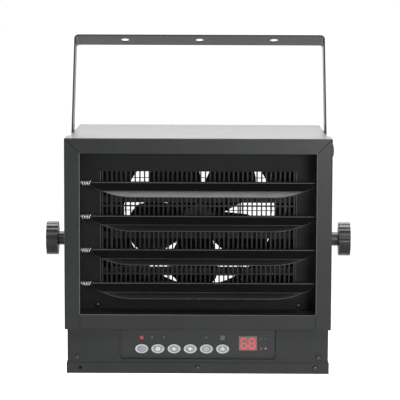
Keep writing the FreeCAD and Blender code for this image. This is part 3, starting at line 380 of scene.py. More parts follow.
def lit(name, colour, strength):
    """A lamp face or segment: its colour glows, slightly uneven over its width."""
    material, tree, shader = new_material(name)
    tone = tones_of(tree, noise(tree, place_in(tree), LIT_PATCHES), colour, LIT_TONES)
    tree.links.new(tone, shader.inputs["Base Color"])
    tree.links.new(tone, shader.inputs["Emission Color"])
    put(shader, {"Emission Strength": strength, "Roughness": LIT_ROUGH})
    return material


CHARCOAL = (0.0238, 0.0251, 0.0259)
SMOOTH = 0.03
materials = {
    "charcoal_coat": coat("charcoal_coat", CHARCOAL, rough=0.3),
    # The louvers' coat is a darker copy of the charcoal coat: painted shade of louvers lying under the bezel and
    # under each other
    "louver_coat": coat("louver_coat", scaled(CHARCOAL, 0.65), rough=0.2, relief=SMOOTH, shine=0.3),
    "bracket_coat": coat("bracket_coat", CHARCOAL, rough=0.3),
    "guard_coat": coat("guard_coat", scaled(CHARCOAL, 0.55), rough=0.5, shine=0.12),
    "bare_sheet": zinc_sheet("bare_sheet"),
    "bright_steel": bright_metal("bright_steel", (0.78, 0.78, 0.78), rough=0.3, streaks=METAL_FINE),
    "fin_metal": heated_metal("fin_metal"),
    "fan_metal": bright_metal("fan_metal", (0.05, 0.05, 0.052), rough=0.5, stretch=(1, 0.2, 1)),
    "motor_enamel": coat("motor_enamel", scaled(CHARCOAL, 0.8), rough=0.35),
    "black_plastic": moulding("black_plastic", scaled(CHARCOAL, 0.8), rough=0.38, shine=0.3),
    "knob_plastic": moulding("knob_plastic", scaled(CHARCOAL, 0.5), rough=0.26, relief=0.05, shine=0.35),
    "key_grey": moulding("key_grey", (0.56, 0.6, 0.61), rough=0.35),
    "red_lens": lit("red_lens", (0.4, 0.06, 0.06), strength=0.2),
    "smoked_window": lit("smoked_window", (0.22, 0.13, 0.12), strength=0.08),
    "board_green": circuit_board("board_green"),
    "component_black": moulding("component_black", (0.03, 0.03, 0.03), rough=0.45),
}
own_finish = {
    "outlet_guard": coat("guard_wire", scaled(CHARCOAL, 0.85), rough=0.3, grain=FINE_GRAIN),
    "ir_window": moulding("receiver_window", (0.12, 0.13, 0.135), rough=0.2),
}
mark_grey = moulding("mark_grey", (0.14, 0.145, 0.15), rough=0.5)
key_shade = moulding("key_shade", (0.2, 0.215, 0.22), rough=0.4)
key_field = moulding("key_field", (0.36, 0.39, 0.395), rough=0.4)
symbol_white = moulding("symbol_white", (0.85, 0.88, 0.88), rough=0.4)
symbol_red = moulding("symbol_red", (0.5, 0.13, 0.14), rough=0.4)
segment_red = lit("segment_red", (0.7, 0.08, 0.095), strength=0.35)
segment_off = moulding("segment_off", (0.26, 0.14, 0.13), rough=0.3)
spring_wire = bright_metal("spring_wire", (0.82, 0.82, 0.81), rough=0.35, streaks=METAL_FINE, metallic=0.4)
# Lighter metal for the bezel's fold and the outlet's rolled edges: painted highlight along these edges
painted_highlight_edge = bright_metal("painted_highlight_edge", (0.09, 0.092, 0.094), rough=0.45, streaks=METAL_BROAD)
# A lighter copy of the louvers' coat for the beads along their edges: painted highlight
louver_edge = coat("louver_edge", scaled(CHARCOAL, 1.1), rough=0.28, relief=SMOOTH, shine=0.4)
# Near-black for the pan's empty screw hole: painted shade of its inside
painted_hole_shade = coat("painted_hole_shade", scaled(CHARCOAL, 0.15), rough=0.6, shine=0.05)
rod_steel = bright_metal("rod_steel", (0.065, 0.065, 0.065), rough=0.5, stretch=(0.05, 1, 1))
screw_black = coat("screw_black", scaled(CHARCOAL, 0.8), rough=0.2, grain=FINE_GRAIN, shine=0.5)


def dress_nodes():
    for piece in frame["record"]["subparts"]:
        item = frame["nodes"][piece["node"]]
        item.data.materials.clear()
        item.data.materials.append(own_finish.get(piece["node"], materials[piece["material_slot"]]))


# Helpers for the pieces made here

SHARP_ANGLE = math.radians(35)
ROUND_STEPS = 40
SMALL_STEPS = 24
ROD_STEPS = 20
OVAL_STEPS = 48
WIRE_FACETS = 3


def facing(direction):
    """Turns a piece made along +Z to look in the direction."""
    return Vector(direction).to_track_quat("Z", "Y").to_matrix().to_4x4()


def on_front(x, y, z):
    """A local frame at a place in millimetres on a front face: its X to the right, its Y up."""
    turn = Matrix((RIGHT, UP, FRONT)).transposed().to_4x4()
    return Matrix.Translation(Vector((x, y, z)) * MM) @ turn


def louver_axes():
    """Each louver's body, and its axis by depth and height."""
    for joint in frame["joints"]:
        if joint["child"].startswith("louver_"):
            yield joint["child"], *joint["pos_m"][1:]


def settle(name, data, body):
    item = bpy.data.objects.new(name, data)
    scene.collection.objects.link(item)
    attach(item, body)
    return item


def mesh_of(name, bm):
    bmesh.ops.recalc_face_normals(bm, faces=bm.faces)
    data = bpy.data.meshes.new(name)
    bm.to_mesh(data)
    bm.free()
    return data


def finish_mesh(name, bm, material, body, sharp=SHARP_ANGLE):
    data = mesh_of(name, bm)
    data.materials.append(material)
    data.set_sharp_from_angle(angle=sharp)
    return settle(name, data, body)


def shaped(shares, radius, rise):
    """A profile from shares of a radius and a rise."""
    return [(radius * across, rise * up) for across, up in shares]


def lathe(bm, profile, turn, segments=ROUND_STEPS):
    """A closed form turned round its own Z axis from a profile of radius and height, from tip to rim."""
    angles = [FULL_TURN * i / segments for i in range(segments)]
    rings = []
    for radius, height in profile:
        if radius:
            spots = [Vector((radius * math.cos(a), radius * math.sin(a), height)) for a in angles]
        else:
            spots = [Vector((0, 0, height))]
        rings.append([bm.verts.new(turn @ spot) for spot in spots])
    for inner, outer in zip(rings, rings[1:]):
        for i in range(segments):
            following = (i + 1) % segments
            near = [inner[0]] if len(inner) == 1 else [inner[i], inner[following]]
            far = [outer[0]] if len(outer) == 1 else [outer[following], outer[i]]
            bm.faces.new(near + far)
    if len(rings[-1]) > 1:
        bm.faces.new(rings[-1])


def plate(bm, points, turn, thickness):
    """A flat outline with the thickness, standing on its own Z plane."""
    low = [bm.verts.new(turn @ Vector((x, y, 0))) for x, y in points]
    high = [bm.verts.new(turn @ Vector((x, y, thickness))) for x, y in points]
    bm.faces.new(high)
    bm.faces.new(list(reversed(low)))
    for i in range(len(points)):
        following = (i + 1) % len(points)
        bm.faces.new((low[i], low[following], high[following], high[i]))


def band(bm, outer, inner, turn, thickness, closed=True):
    """A flat strip between two outlines with as many points."""

    def ring(line, height):
        return [bm.verts.new(turn @ Vector((x, y, height))) for x, y in line]

    count = len(outer)
    low_out, low_in = ring(outer, 0), ring(inner, 0)
    high_out, high_in = ring(outer, thickness), ring(inner, thickness)
    for i in range(count if closed else count - 1):
        j = (i + 1) % count
        bm.faces.new((high_out[i], high_out[j], high_in[j], high_in[i]))
        bm.faces.new((low_out[j], low_out[i], low_in[i], low_in[j]))
        bm.faces.new((low_out[i], low_out[j], high_out[j], high_out[i]))
        bm.faces.new((low_in[j], low_in[i], high_in[i], high_in[j]))
    if not closed:
        for i in (0, count - 1):
            bm.faces.new((low_out[i], low_in[i], high_in[i], high_out[i]))


def oval_points(half_wide, half_high, count=OVAL_STEPS, start=0, sweep=FULL_TURN):
    steps = count if sweep >= FULL_TURN else count - 1
    angles = [start + sweep * i / steps for i in range(count)]
    return [(half_wide * math.cos(a), half_high * math.sin(a)) for a in angles]


def shifted(points, across, up):
    return [(x + across, y + up) for x, y in points]


def new_wire(name, radius):
    curve = bpy.data.curves.new(name, "CURVE")
    curve.dimensions = "3D"
    curve.bevel_depth = radius
    curve.bevel_resolution = WIRE_FACETS
    curve.use_fill_caps = True
    return curve


def add_run(curve, kind, spots):
    line = curve.splines.new(kind)
    line.points.add(len(spots) - 1)
    for point, spot in zip(line.points, spots):
        point.co = (*spot, 1)
    return line


def wire(name, runs, radius, material, body):
    """Round wire along straight runs of spots. A run that ends where it starts is a ring."""
    curve = new_wire(name, radius)
    for run in runs:
        ring = run[0] == run[-1]
        line = add_run(curve, "POLY", run[:-1] if ring else run)
        line.use_cyclic_u = ring
    curve.materials.append(material)
    return settle(name, curve, body)


# Screws. Their places are in millimetres.

SCREW_HEAD = 4.0 * MM
SCREW_RISE = 2.2 * MM
SCREW_SLOT_REACH = 2.1 * MM
SCREW_SLOT_HALF = 0.5 * MM
SCREW_SLOT_DEPTH = 1.3 * MM
SCREW_TURN = 37
SCREW_FIRST_TURN = 11
HEAD_SHARES = ((0.0, 1.0), (0.35, 0.98), (0.65, 0.88), (0.87, 0.62), (0.97, 0.3), (1.0, 0.0))
PANEL_SCREWS = [(-162.5, -127.5, 21.5), (162.5, -127.5, 21.5)]
PAN_SCREW_SIDE = 158.2
PAN_SCREW_LEVEL = 7.6
PAN_SCREW_FACE = -128.8
PAN_SCREWS = [(side, PAN_SCREW_FACE, PAN_SCREW_LEVEL) for side in (0, PAN_SCREW_SIDE)]
OUTLET_SCREWS = [(-137, -87.5, 86.8), (137, -87.5, 86.8)]


def screw_mesh():
    """A pan head with a cross recess."""
    bm = bmesh.new()
    lathe(bm, shaped(HEAD_SHARES, SCREW_HEAD, SCREW_RISE), Matrix())
    head = mesh_of("screw_head", bm)
    bm = bmesh.new()
    reach, half = SCREW_SLOT_REACH, SCREW_SLOT_HALF
    cross = [(reach, -half), (reach, half), (half, half), (half, reach), (-half, reach), (-half, half)]
    cross += [(-x, -y) for x, y in cross]
    plate(bm, cross, Matrix.Translation((0, 0, SCREW_RISE - SCREW_SLOT_DEPTH)), SCREW_RISE)
    recess = mesh_of("screw_recess", bm)
    solid = bpy.data.objects.new("screw_solid", head)
    cutter = bpy.data.objects.new("screw_cutter", recess)
    for item in (solid, cutter):
        scene.collection.objects.link(item)
    joined = solid.modifiers.new("recess", "BOOLEAN")
    joined.object = cutter
    joined.operation = "DIFFERENCE"
    bpy.context.view_layer.update()
    made = bpy.data.meshes.new_from_object(solid.evaluated_get(bpy.context.evaluated_depsgraph_get()))
    for item in (solid, cutter):
        bpy.data.objects.remove(item)
    return made


def make_screws(name, places, direction, size_share=1.0, material=screw_black):
    bm = bmesh.new()
    for i, spot in enumerate(places):
        copy = screw_head.copy()
        spin = Matrix.Rotation(math.radians(SCREW_TURN * i + SCREW_FIRST_TURN), 4, "Z")
        turn = facing(direction) @ spin @ Matrix.Scale(size_share, 4)
        copy.transform(Matrix.Translation(Vector(spot) * MM) @ turn)
        bm.from_mesh(copy)
        bpy.data.meshes.remove(copy)
    finish_mesh(name, bm, material, "cabinet")


# Louver springs: round wire wound on each rod between the bezel and the blade

SPRING_COILS = 5
SPRING_POINTS = 14
SPRING_STEPS = 3
SPRING_ORDER = 4
SPRING_RADIUS = 2.4 * MM
WIRE_RADIUS = 0.62 * MM
LEG_REACH = 2.2 * MM
LEG_RISE = 3.4 * MM
LEG_SHARES = (0.35, 0.7, 1.0)


def make_springs():
    curve = new_wire("louver_spring_wire", WIRE_RADIUS)
    low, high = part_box("louver_springs")
    start, end = low.x + WIRE_RADIUS, high.x - WIRE_RADIUS - LEG_REACH
    count = SPRING_COILS * SPRING_POINTS
    for _, axis_y, axis_z in louver_axes():
        spots = []
        for i in range(count + 1):
            angle = FULL_TURN * i / SPRING_POINTS
            x = start + (end - start) * i / count
            y = axis_y - SPRING_RADIUS * math.cos(angle)
            z = axis_z + SPRING_RADIUS * math.sin(angle)
            spots.append((x, y, z))
        for share in LEG_SHARES:
            spots.append((x + LEG_REACH * share, y, z + LEG_RISE * share))
        line = add_run(curve, "NURBS", spots)
        line.order_u = SPRING_ORDER
        line.resolution_u = SPRING_STEPS
        line.use_endpoint_u = True
    curve.materials.append(spring_wire)
    item = settle("louver_spring_wire", curve, "cabinet")
    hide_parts("louver_springs")


# Sleeves round the louvers' rods along the blades

SLEEVE_RADIUS = 2.6 * MM
SLEEVE_CHAMFER = 0.5 * MM
SLEEVE_START = -142.0 * MM
SLEEVE_END = 155.6 * MM


def make_sleeves():
    length = SLEEVE_END - SLEEVE_START
    inner = SLEEVE_RADIUS - SLEEVE_CHAMFER
    profile = [(0, 0), (inner, 0), (SLEEVE_RADIUS, SLEEVE_CHAMFER)]
    profile += [(SLEEVE_RADIUS, length - SLEEVE_CHAMFER), (inner, length), (0, length)]
    for louver, axis_y, axis_z in louver_axes():
        bm = bmesh.new()
        turn = Matrix.Translation((SLEEVE_START, axis_y, axis_z)) @ facing(RIGHT)
        lathe(bm, profile, turn, ROD_STEPS)
        finish_mesh(f"{louver}_rod_sleeve", bm, rod_steel, louver)


# Louver blades: folded sheet with elliptical front corners, a bead along the edge in a lighter coat that paints
# its highlight, and one on the fold

BLADE_LEFT = -142.4 * MM
BLADE_RIGHT = 155.6 * MM
BLADE_SHEET = 0.9 * MM
ROD_RADIUS = 1.6 * MM
FLAT_RUN = 20.4 * MM
LIP_RUN = 8.3 * MM
FLAT_SLOPE = math.radians(25)
LIP_SLOPE = math.radians(41)
CORNER_START = 2.4 * MM
CORNER_REACH = 57.0 * MM
CORNER_STEPS = 14
EDGE_RADIUS = 0.55 * MM
CREASE_RADIUS = 0.7 * MM
CREASE_SINK = 0.35 * MM
BLADE_SHARP = math.radians(12)
FOLD_TOLERANCE = MM / 1000


def blade_lines():
    """The flat's and the lip's outlines in plan, and the reach of the fold and of the root.

    A spot is a place along the rod and a reach in front of it.
    """
    root = ROD_RADIUS * math.sin(FLAT_SLOPE)
    fold = root + FLAT_RUN
    depth = fold + LIP_RUN - CORNER_START
    at_fold = math.asin((fold - CORNER_START) / depth)
    shares = [i / CORNER_STEPS for i in range(CORNER_STEPS + 1)]
    flat_turns = [at_fold * share for share in shares]
    lip_turns = [at_fold + (math.pi / 2 - at_fold) * share for share in shares]

    def corner(turns, end, side):
        return [
            (end - side * CORNER_REACH * (1 - math.cos(turn)), CORNER_START + depth * math.sin(turn))
            for turn in turns
        ]

    left_flat, left_lip = corner(flat_turns, BLADE_LEFT, -1), corner(lip_turns, BLADE_LEFT, -1)
    right_flat, right_lip = corner(flat_turns, BLADE_RIGHT, 1), corner(lip_turns, BLADE_RIGHT, 1)
    flat = [(BLADE_LEFT, root)] + left_flat + right_flat[::-1] + [(BLADE_RIGHT, root)]
    return flat, left_lip + right_lip[::-1], fold, root


def make_louvers():
    flat, lip, fold, root = blade_lines()
    root_level = ROD_RADIUS * math.cos(FLAT_SLOPE)
    fold_level = root_level - (fold - root) * math.tan(FLAT_SLOPE)
    flat_normal = Vector((0, -math.sin(FLAT_SLOPE), math.cos(FLAT_SLOPE)))
    lip_normal = Vector((0, -math.sin(LIP_SLOPE), math.cos(LIP_SLOPE)))
    fold_normal = (flat_normal + lip_normal) / (1 + flat_normal.dot(lip_normal))

    def on_top(x, reach):
        if reach <= fold:
            return Vector((x, -reach, root_level - (reach - root) * math.tan(FLAT_SLOPE)))
        return Vector((x, -reach, fold_level - (reach - fold) * math.tan(LIP_SLOPE)))

    def normal_at(reach):
        if math.isclose(reach, fold, abs_tol=FOLD_TOLERANCE):
            return fold_normal
        return flat_normal if reach < fold else lip_normal

    half = len(flat) // 2
    fold_left, fold_right = flat[half - 1], flat[half]
    around = flat[:half] + lip[1:-1] + flat[half:]
    paint, slot = materials["louver_coat"], "louver_coat"
    for louver, axis_y, axis_z in louver_axes():
        axis = Vector((0, axis_y, axis_z))
        blade = f"louver_blade_{louver[-1]}"
        tops = {spot: axis + on_top(*spot) for spot in around}
        downs = {spot: normal_at(spot[1]) * BLADE_SHEET for spot in around}
        bm = bmesh.new()
        high = {spot: bm.verts.new(tops[spot]) for spot in around}
        low = {spot: bm.verts.new(tops[spot] - downs[spot]) for spot in around}
        for spots in (flat, [fold_left] + lip[1:-1] + [fold_right]):
            bm.faces.new([high[spot] for spot in spots])
            bm.faces.new([low[spot] for spot in reversed(spots)])
        for i, spot in enumerate(around):
            following = around[(i + 1) % len(around)]
            bm.faces.new((high[following], high[spot], low[spot], low[following]))
        rod_low, rod_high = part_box(blade)
        length = rod_high.x - rod_low.x
        turn = Matrix.Translation((rod_low.x, axis.y, axis.z)) @ facing(RIGHT)
        lathe(bm, [(0, 0), (ROD_RADIUS, 0), (ROD_RADIUS, length), (0, length)], turn, ROD_STEPS)
        item = finish_mesh(f"{louver}_folded", bm, paint, louver, BLADE_SHARP)
        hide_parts(blade)
        edge = [tops[spot] - downs[spot] / 2 for spot in around[1:-1]]
        # The edge bead's lighter coat is painted highlight along the blade's edge
        wire(f"{louver}_edge", [edge], EDGE_RADIUS, louver_edge, louver)
        crease = [tops[spot] - fold_normal * CREASE_SINK for spot in (fold_left, fold_right)]
        wire(f"{louver}_crease", [crease], CREASE_RADIUS, paint, louver)


# Rounded fold round the bezel's opening, and rolled edges at the sides of the air outlet, both in a lighter metal
# that paints the highlight along them

FOLD_RADIUS = 0.9 * MM
FOLD_SINK = 0.6 * MM
OUTLET_HALF = 132.9 * MM
OUTLET_EDGE_RADIUS = 0.7 * MM
OUTLET_EDGE_DEPTH = 0.6 * MM
OUTLET_LAP = 6.0 * MM


def make_bezel_fold():
    hood_low, hood_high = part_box("bezel_hood")
    _, rail_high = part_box("bezel_bottom_rail")
    rail_width = hood_high.x - rail_high.x
    side = rail_high.x + FOLD_SINK
    bottom = rail_high.z - FOLD_SINK
    top = hood_high.z - rail_width + FOLD_SINK
    face = hood_low.y + FOLD_SINK
    corners = [(-side, top), (-side, bottom), (side, bottom), (side, top)]
    run = [(x, face, z) for x, z in corners]
    # Its lighter metal is painted highlight along the fold
    wire("bezel_fold", [run], FOLD_RADIUS, painted_highlight_edge, "cabinet")


def make_outlet_edges():
    _, plate_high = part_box("outlet_plate")
    guard_low, guard_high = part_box("outlet_guard")
    depth = plate_high.y - OUTLET_EDGE_DEPTH
    levels = (guard_low.z + OUTLET_LAP, guard_high.z - OUTLET_LAP)
    runs = [[(side * OUTLET_HALF, depth, level) for level in levels] for side in SIDES]
    # Their lighter metal is painted highlight along the outlet's edges
    wire("outlet_edges", runs, OUTLET_EDGE_RADIUS, painted_highlight_edge, "cabinet")


# Rear: screws of the panel and the motor's bars, and clips that hold the wire guard

REAR_SCREW_SIDE = 165.0
REAR_SCREW_LEVELS = (25.0, 164.0, 303.0)
BAR_SCREW_SIDE = 121.0
BAR_HALF_WIDTH = 5.0
MOTOR_SCREW_SIDE = 16.0
MOTOR_SCREW_SHARE = 0.42
CLIP_TURNS = (45, 135, 225, 315)
CLIP_GAP = 1.4 * MM
CLIP_FOOT = 10.5 * MM
CLIP_LIP = 5.5 * MM
CLIP_SHEET = 1.0 * MM
CLIP_HALF_WIDTH = 5.0 * MM
CLIP_SCREW_SHARE = 0.75


def make_rear_screws():
    _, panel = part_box("rear_panel")
    bar_low, bar_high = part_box("motor_bracket")
    bar_levels = (bar_low.z / MM + BAR_HALF_WIDTH, bar_high.z / MM - BAR_HALF_WIDTH)

    def pairs(reach, face, levels):
        return [(side * reach, face / MM, level) for side in SIDES for level in levels]

    make_screws("rear_screws", pairs(REAR_SCREW_SIDE, panel.y, REAR_SCREW_LEVELS), BACK)
    make_screws("motor_bar_screws", pairs(BAR_SCREW_SIDE, panel.y, bar_levels), BACK)
    places = pairs(MOTOR_SCREW_SIDE, bar_high.y, bar_levels)
    make_screws("motor_screws", places, BACK, MOTOR_SCREW_SHARE, materials["bright_steel"])


def make_guard_clips():
    _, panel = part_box("rear_panel")
    guard_low, guard_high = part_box("rear_guard")
    rim = (guard_high.x - guard_low.x) / 2
    centre = (guard_low + guard_high) / 2
    rise = guard_high.y - panel.y
    inner, outer = rim + CLIP_GAP, rim + CLIP_GAP + CLIP_SHEET
    foot, lip = inner + CLIP_FOOT, rim - CLIP_LIP
    outline = [(inner, 0), (foot, 0), (foot, CLIP_SHEET), (outer, CLIP_SHEET)]
    outline += [(outer, rise + CLIP_SHEET), (lip, rise + CLIP_SHEET), (lip, rise), (inner, rise)]
    middle = Vector((centre.x, panel.y, centre.z))
    bm = bmesh.new()
    feet = []
    for degrees in CLIP_TURNS:
        angle = math.radians(degrees)
        out = Vector((math.cos(angle), 0, math.sin(angle)))
        across = out.cross(BACK)
        turn = Matrix((out, BACK, across)).transposed().to_4x4()
        plate(bm, outline, Matrix.Translation(middle - across * CLIP_HALF_WIDTH) @ turn, CLIP_HALF_WIDTH * 2)
        feet.append((middle + out * (outer + CLIP_FOOT / 2) + BACK * CLIP_SHEET) / MM)
    finish_mesh("guard_clips", bm, materials["charcoal_coat"], "cabinet")
    make_screws("clip_screws", feet, BACK, CLIP_SCREW_SHARE)


# Rear guard: the same wires as in the frame, drawn round and the level ones finer

GRILLE_BARS = 19
GRILLE_END = 9.0 * MM
GRILLE_STAY = 60.0 * MM
GRILLE_FRAME = 1.2 * MM
GRILLE_FINE = 0.6 * MM
GRILLE_STEPS = 96


def make_rear_guard():
    low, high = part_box("rear_guard")
    centre = (low + high) / 2
    half = (high.x - low.x) / 2
    rim = half - GRILLE_FRAME
    layer = high.y - GRILLE_FRAME
    depth = centre.y - GRILLE_FINE

    def half_chord(offset, radius):
        return math.sqrt(radius * radius - offset * offset)

    circle = oval_points(rim, rim, GRILLE_STEPS)
    ring = [(centre.x + x, layer, centre.z + z) for x, z in circle]
    runs = [ring + ring[:1]]
    reach = half_chord(GRILLE_STAY, rim)
    for side in SIDES:
        runs.append([(centre.x + side * GRILLE_STAY, layer, centre.z + end * reach) for end in SIDES])
    paint, slot = materials["guard_coat"], "guard_coat"
    item = wire("guard_frame", runs, GRILLE_FRAME, paint, "cabinet")
    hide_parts("rear_guard")
    levels = []
    for i in range(GRILLE_BARS):
        offset = (half - GRILLE_END) * (2 * i / (GRILLE_BARS - 1) - 1)
        reach = half_chord(offset, half)
        levels.append([(centre.x + end * reach, depth, centre.z + offset) for end in SIDES])
    wire("guard_levels", levels, GRILLE_FINE, paint, "cabinet")


# Bearing boss on the motor's rear face, between the bars

BOSS_RADIUS = 15.0 * MM
BOSS_RISE = 2.2 * MM
BOSS_SHARES = ((0.0, 0.55), (0.3, 0.55), (0.36, 1.0), (0.62, 1.0), (0.7, 0.6), (0.94, 0.5), (1.0, 0.0))


def make_motor_boss():
    low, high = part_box("fan_motor")
    middle = (low + high) / 2
    bm = bmesh.new()
    turn = Matrix.Translation((middle.x, high.y, middle.z)) @ facing(BACK)
    lathe(bm, shaped(BOSS_SHARES, BOSS_RADIUS, BOSS_RISE), turn)
    finish_mesh("motor_boss", bm, materials["bare_sheet"], "cabinet")


# Domed nut on the fan's hub

NUT_SIDES = 6
NUT_REACH = 6.5 * MM
NUT_HEIGHT = 5.0 * MM
NUT_DOME_SHARES = ((0.0, 2.0), (0.4, 1.9), (0.65, 1.65), (0.8, 1.3), (0.85, 1.0), (0.85, 0.5))


def make_fan_nut():
    joint = next(joint for joint in frame["joints"] if joint["child"] == "fan")
    low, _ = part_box("fan")
    x, _, z = joint["pos_m"]
    turn = Matrix.Translation((x, low.y, z)) @ facing(FRONT)
    bm = bmesh.new()
    plate(bm, oval_points(NUT_REACH, NUT_REACH, NUT_SIDES), turn, NUT_HEIGHT)
    lathe(bm, shaped(NUT_DOME_SHARES, NUT_REACH, NUT_HEIGHT), turn, SMALL_STEPS)
    finish_mesh("fan_nut", bm, materials["bright_steel"], "fan")


# Empty screw hole at the left of the pan's lip: a dark disc on the lip, painted shade standing in for the inside
# of the hole

HOLE_RADIUS = 2.2 * MM
HOLE_SHARES = ((0.0, 0.03), (0.75, 0.03), (0.9, 0.1), (1.0, 0.0))


def make_pan_hole():
    low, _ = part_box("bottom_pan")
    bm = bmesh.new()
    turn = on_front(-PAN_SCREW_SIDE, low.y / MM, PAN_SCREW_LEVEL)
    lathe(bm, shaped(HOLE_SHARES, HOLE_RADIUS, HOLE_RADIUS), turn, SMALL_STEPS)
    finish_mesh("pan_hole", bm, painted_hole_shade, "cabinet")


# Keys: a darker ring, a paler field and a plain pictogram on each. Shares are of the pictogram's reach.

KEY_LEVEL = 33.0
INLAY_RISE = 0.12 * MM
INLAY_HALF = (6.2 * MM, 4.1 * MM)
INLAY_INNER = (5.2 * MM, 3.2 * MM)
SYMBOL_RISE = 0.2 * MM
SYMBOL_REACH = 2.8 * MM
STROKE = 0.55 * MM
POWER_GAP = math.radians(70)
POWER_STEPS = 30
MODE_HOLE_SHARE = 0.42
BASE_SHARE = 0.6
TIP_SHARE = 0.95
HAND_SHARES = (0.55, 0.65)
LEAVES = 3
LEAF_STEPS = 20
LEAF_HALF_SHARES = (0.3, 0.5)
LEAF_PLACE_SHARES = (0.12, 0.55)


def circle_of(radius):
    return oval_points(radius, radius)


def power_symbol(bm, turn):
    begin = math.pi / 2 + POWER_GAP / 2
    sweep = FULL_TURN - POWER_GAP
    inside = SYMBOL_REACH - STROKE
    outer = oval_points(SYMBOL_REACH, SYMBOL_REACH, POWER_STEPS, begin, sweep)
    inner = oval_points(inside, inside, POWER_STEPS, begin, sweep)
    band(bm, outer, inner, turn, SYMBOL_RISE, closed=False)
    half = STROKE / 2
    plate(bm, [(-half, 0), (half, 0), (half, SYMBOL_REACH), (-half, SYMBOL_REACH)], turn, SYMBOL_RISE)


def mode_symbol(bm, turn):
    hole = circle_of(SYMBOL_REACH * MODE_HOLE_SHARE)
    band(bm, circle_of(SYMBOL_REACH), hole, turn, SYMBOL_RISE)


def triangle_symbol(bm, turn, way):
    base, tip = -SYMBOL_REACH * BASE_SHARE * way, SYMBOL_REACH * TIP_SHARE * way
    corners = [(-SYMBOL_REACH, base), (SYMBOL_REACH, base), (0, tip)]
    plate(bm, corners if way > 0 else list(reversed(corners)), turn, SYMBOL_RISE)


def warmer_symbol(bm, turn):
    triangle_symbol(bm, turn, 1)


def cooler_symbol(bm, turn):
    triangle_symbol(bm, turn, -1)


def timer_symbol(bm, turn):
    band(bm, circle_of(SYMBOL_REACH), circle_of(SYMBOL_REACH - STROKE), turn, SYMBOL_RISE)
    half = STROKE / 2
    wide, tall = (SYMBOL_REACH * share for share in HAND_SHARES)
    hands = [(-half, -half), (wide, -half), (wide, half), (half, half), (half, tall), (-half, tall)]
    plate(bm, hands, turn, SYMBOL_RISE)


def fan_symbol(bm, turn):
    half_wide, half_high = (SYMBOL_REACH * share for share in LEAF_HALF_SHARES)
    across, up = (SYMBOL_REACH * share for share in LEAF_PLACE_SHARES)
    leaf = shifted(oval_points(half_wide, half_high, LEAF_STEPS), across, up)
    for i in range(LEAVES):
        plate(bm, leaf, turn @ Matrix.Rotation(FULL_TURN * i / LEAVES, 4, "Z"), SYMBOL_RISE)


KEYS = {
    "power": (power_symbol, symbol_red),
    "mode": (mode_symbol, symbol_white),
    "warmer": (warmer_symbol, symbol_white),
    "cooler": (cooler_symbol, symbol_white),
    "timer": (timer_symbol, symbol_white),
    "fan": (fan_symbol, symbol_white),
}


def make_key_marks():
    for name, (draw, paint) in KEYS.items():
        low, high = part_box(f"{name}_button")
        turn = on_front((low.x + high.x) / 2 / MM, low.y / MM, KEY_LEVEL)
        bm = bmesh.new()
        band(bm, oval_points(*INLAY_HALF), oval_points(*INLAY_INNER), turn, INLAY_RISE)
        finish_mesh(f"{name}_key_ring", bm, key_shade, f"{name}_key")
        bm = bmesh.new()
        plate(bm, oval_points(*INLAY_INNER), turn, INLAY_RISE)
        finish_mesh(f"{name}_key_field", bm, key_field, f"{name}_key")
        bm = bmesh.new()
        draw(bm, turn)
        finish_mesh(f"{name}_key_symbol", bm, paint, f"{name}_key")


# Display: seven-segment digits on the window

DIGITS = "68"
SEGMENTS = {"6": "acdefg", "8": "abcdefg"}
SEGMENT_ENDS = {
    "a": ("nw", "ne"),
    "b": ("ne", "e"),
    "c": ("e", "se"),
    "d": ("sw", "se"),
    "e": ("w", "sw"),
    "f": ("nw", "w"),
    "g": ("w", "e"),
}
DIGIT_WIDE = 3.7 * MM
DIGIT_HIGH = 6.6 * MM
DIGIT_CORNERS = {
    "nw": (-DIGIT_WIDE, DIGIT_HIGH),
    "ne": (DIGIT_WIDE, DIGIT_HIGH),
    "w": (-DIGIT_WIDE, 0),
    "e": (DIGIT_WIDE, 0),
    "sw": (-DIGIT_WIDE, -DIGIT_HIGH),
    "se": (DIGIT_WIDE, -DIGIT_HIGH),
}
DIGIT_SPACING = 10.8 * MM
SEGMENT_HALF = 1.05 * MM
SEGMENT_GAP = 0.3 * MM
SEGMENT_RISE = 0.12 * MM


def segment(bm, turn, start, end):
    """A bar with pointed ends between two points."""
    along = (Vector(end) - Vector(start)).normalized()
    side = Vector((-along.y, along.x)) * SEGMENT_HALF
    near, far = Vector(start) + along * SEGMENT_GAP, Vector(end) - along * SEGMENT_GAP
    tip = along * SEGMENT_HALF
    outline = [near, near + tip - side, far - tip - side, far, far - tip + side, near + tip + side]
    plate(bm, outline, turn, SEGMENT_RISE)


def make_digits():
    low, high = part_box("display_module")
    middle = (low + high) / 2
    for i, digit in enumerate(DIGITS):
        across = DIGIT_SPACING * (i - (len(DIGITS) - 1) / 2)
        turn = on_front((middle.x + across) / MM, low.y / MM, middle.z / MM)
        for name, paint, chosen in (("lit", segment_red, True), ("dark", segment_off, False)):
            letters = [letter for letter in SEGMENT_ENDS if (letter in SEGMENTS[digit]) == chosen]
            if not letters:
                continue
            bm = bmesh.new()
            for letter in letters:
                start, end = SEGMENT_ENDS[letter]
                segment(bm, turn, DIGIT_CORNERS[start], DIGIT_CORNERS[end])
            finish_mesh(f"display_digit_{i}_{name}", bm, paint, "cabinet")


# Small lamps on the control strip: place across and level, radius in millimetres, and paint

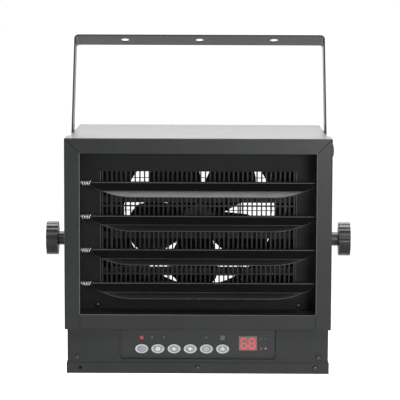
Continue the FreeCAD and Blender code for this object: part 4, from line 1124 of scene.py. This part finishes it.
MARK_FACE = -122.5
LAMP_RISE = 0.6 * MM
LAMP_SHARES = ((0.0, 1.0), (0.5, 0.85), (0.85, 0.5), (1.0, 0.0))
CONTROL_LAMPS = {
    "lamp_low_heat": (-61.7, 48.3, 1.3, mark_grey),
    "lamp_high_heat": (-45.5, 48.4, 1.3, mark_grey),
    "lamp_timer": (11.5, 48.2, 1.3, mark_grey),
    "lamp_upper_left": (85.2, 46.9, 1.3, mark_grey),
    "lamp_upper_right": (91.0, 46.9, 1.3, mark_grey),
    "lamp_lower_left": (85.3, 33.2, 1.5, materials["red_lens"]),
    "lamp_lower_right": (91.5, 33.5, 1.3, key_field),
}


def make_control_lamps():
    for name, (x, z, radius, paint) in CONTROL_LAMPS.items():
        bm = bmesh.new()
        lathe(bm, shaped(LAMP_SHARES, radius * MM, LAMP_RISE), on_front(x, MARK_FACE, z), SMALL_STEPS)
        finish_mesh(name, bm, paint, "cabinet")


# Domed cap on the right flank of the bezel

DOME_SHARES = ((0.0, 1.0), (0.4, 0.95), (0.7, 0.78), (0.9, 0.45), (0.97, 0.2), (1.0, 0.0))


def make_side_plug():
    low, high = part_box("side_plug")
    middle = (low + high) / 2
    bm = bmesh.new()
    turn = Matrix.Translation((low.x, middle.y, middle.z)) @ facing(RIGHT)
    lathe(bm, shaped(DOME_SHARES, (high.z - low.z) / 2, high.x - low.x), turn)
    item = finish_mesh("side_plug_dome", bm, materials["black_plastic"], "cabinet")
    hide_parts("side_plug")


make_camera()
make_world()
make_floor()
make_studio_lamps()
dress_nodes()
screw_head = screw_mesh()
make_screws("panel_screws", PANEL_SCREWS, FRONT)
make_screws("pan_screws", PAN_SCREWS, FRONT)
make_screws("outlet_screws", OUTLET_SCREWS, FRONT)
make_springs()
make_sleeves()
make_louvers()
make_bezel_fold()
make_outlet_edges()
make_rear_screws()
make_guard_clips()
make_rear_guard()
make_motor_boss()
make_fan_nut()
make_pan_hole()
make_key_marks()
make_digits()
make_control_lamps()
make_side_plug()
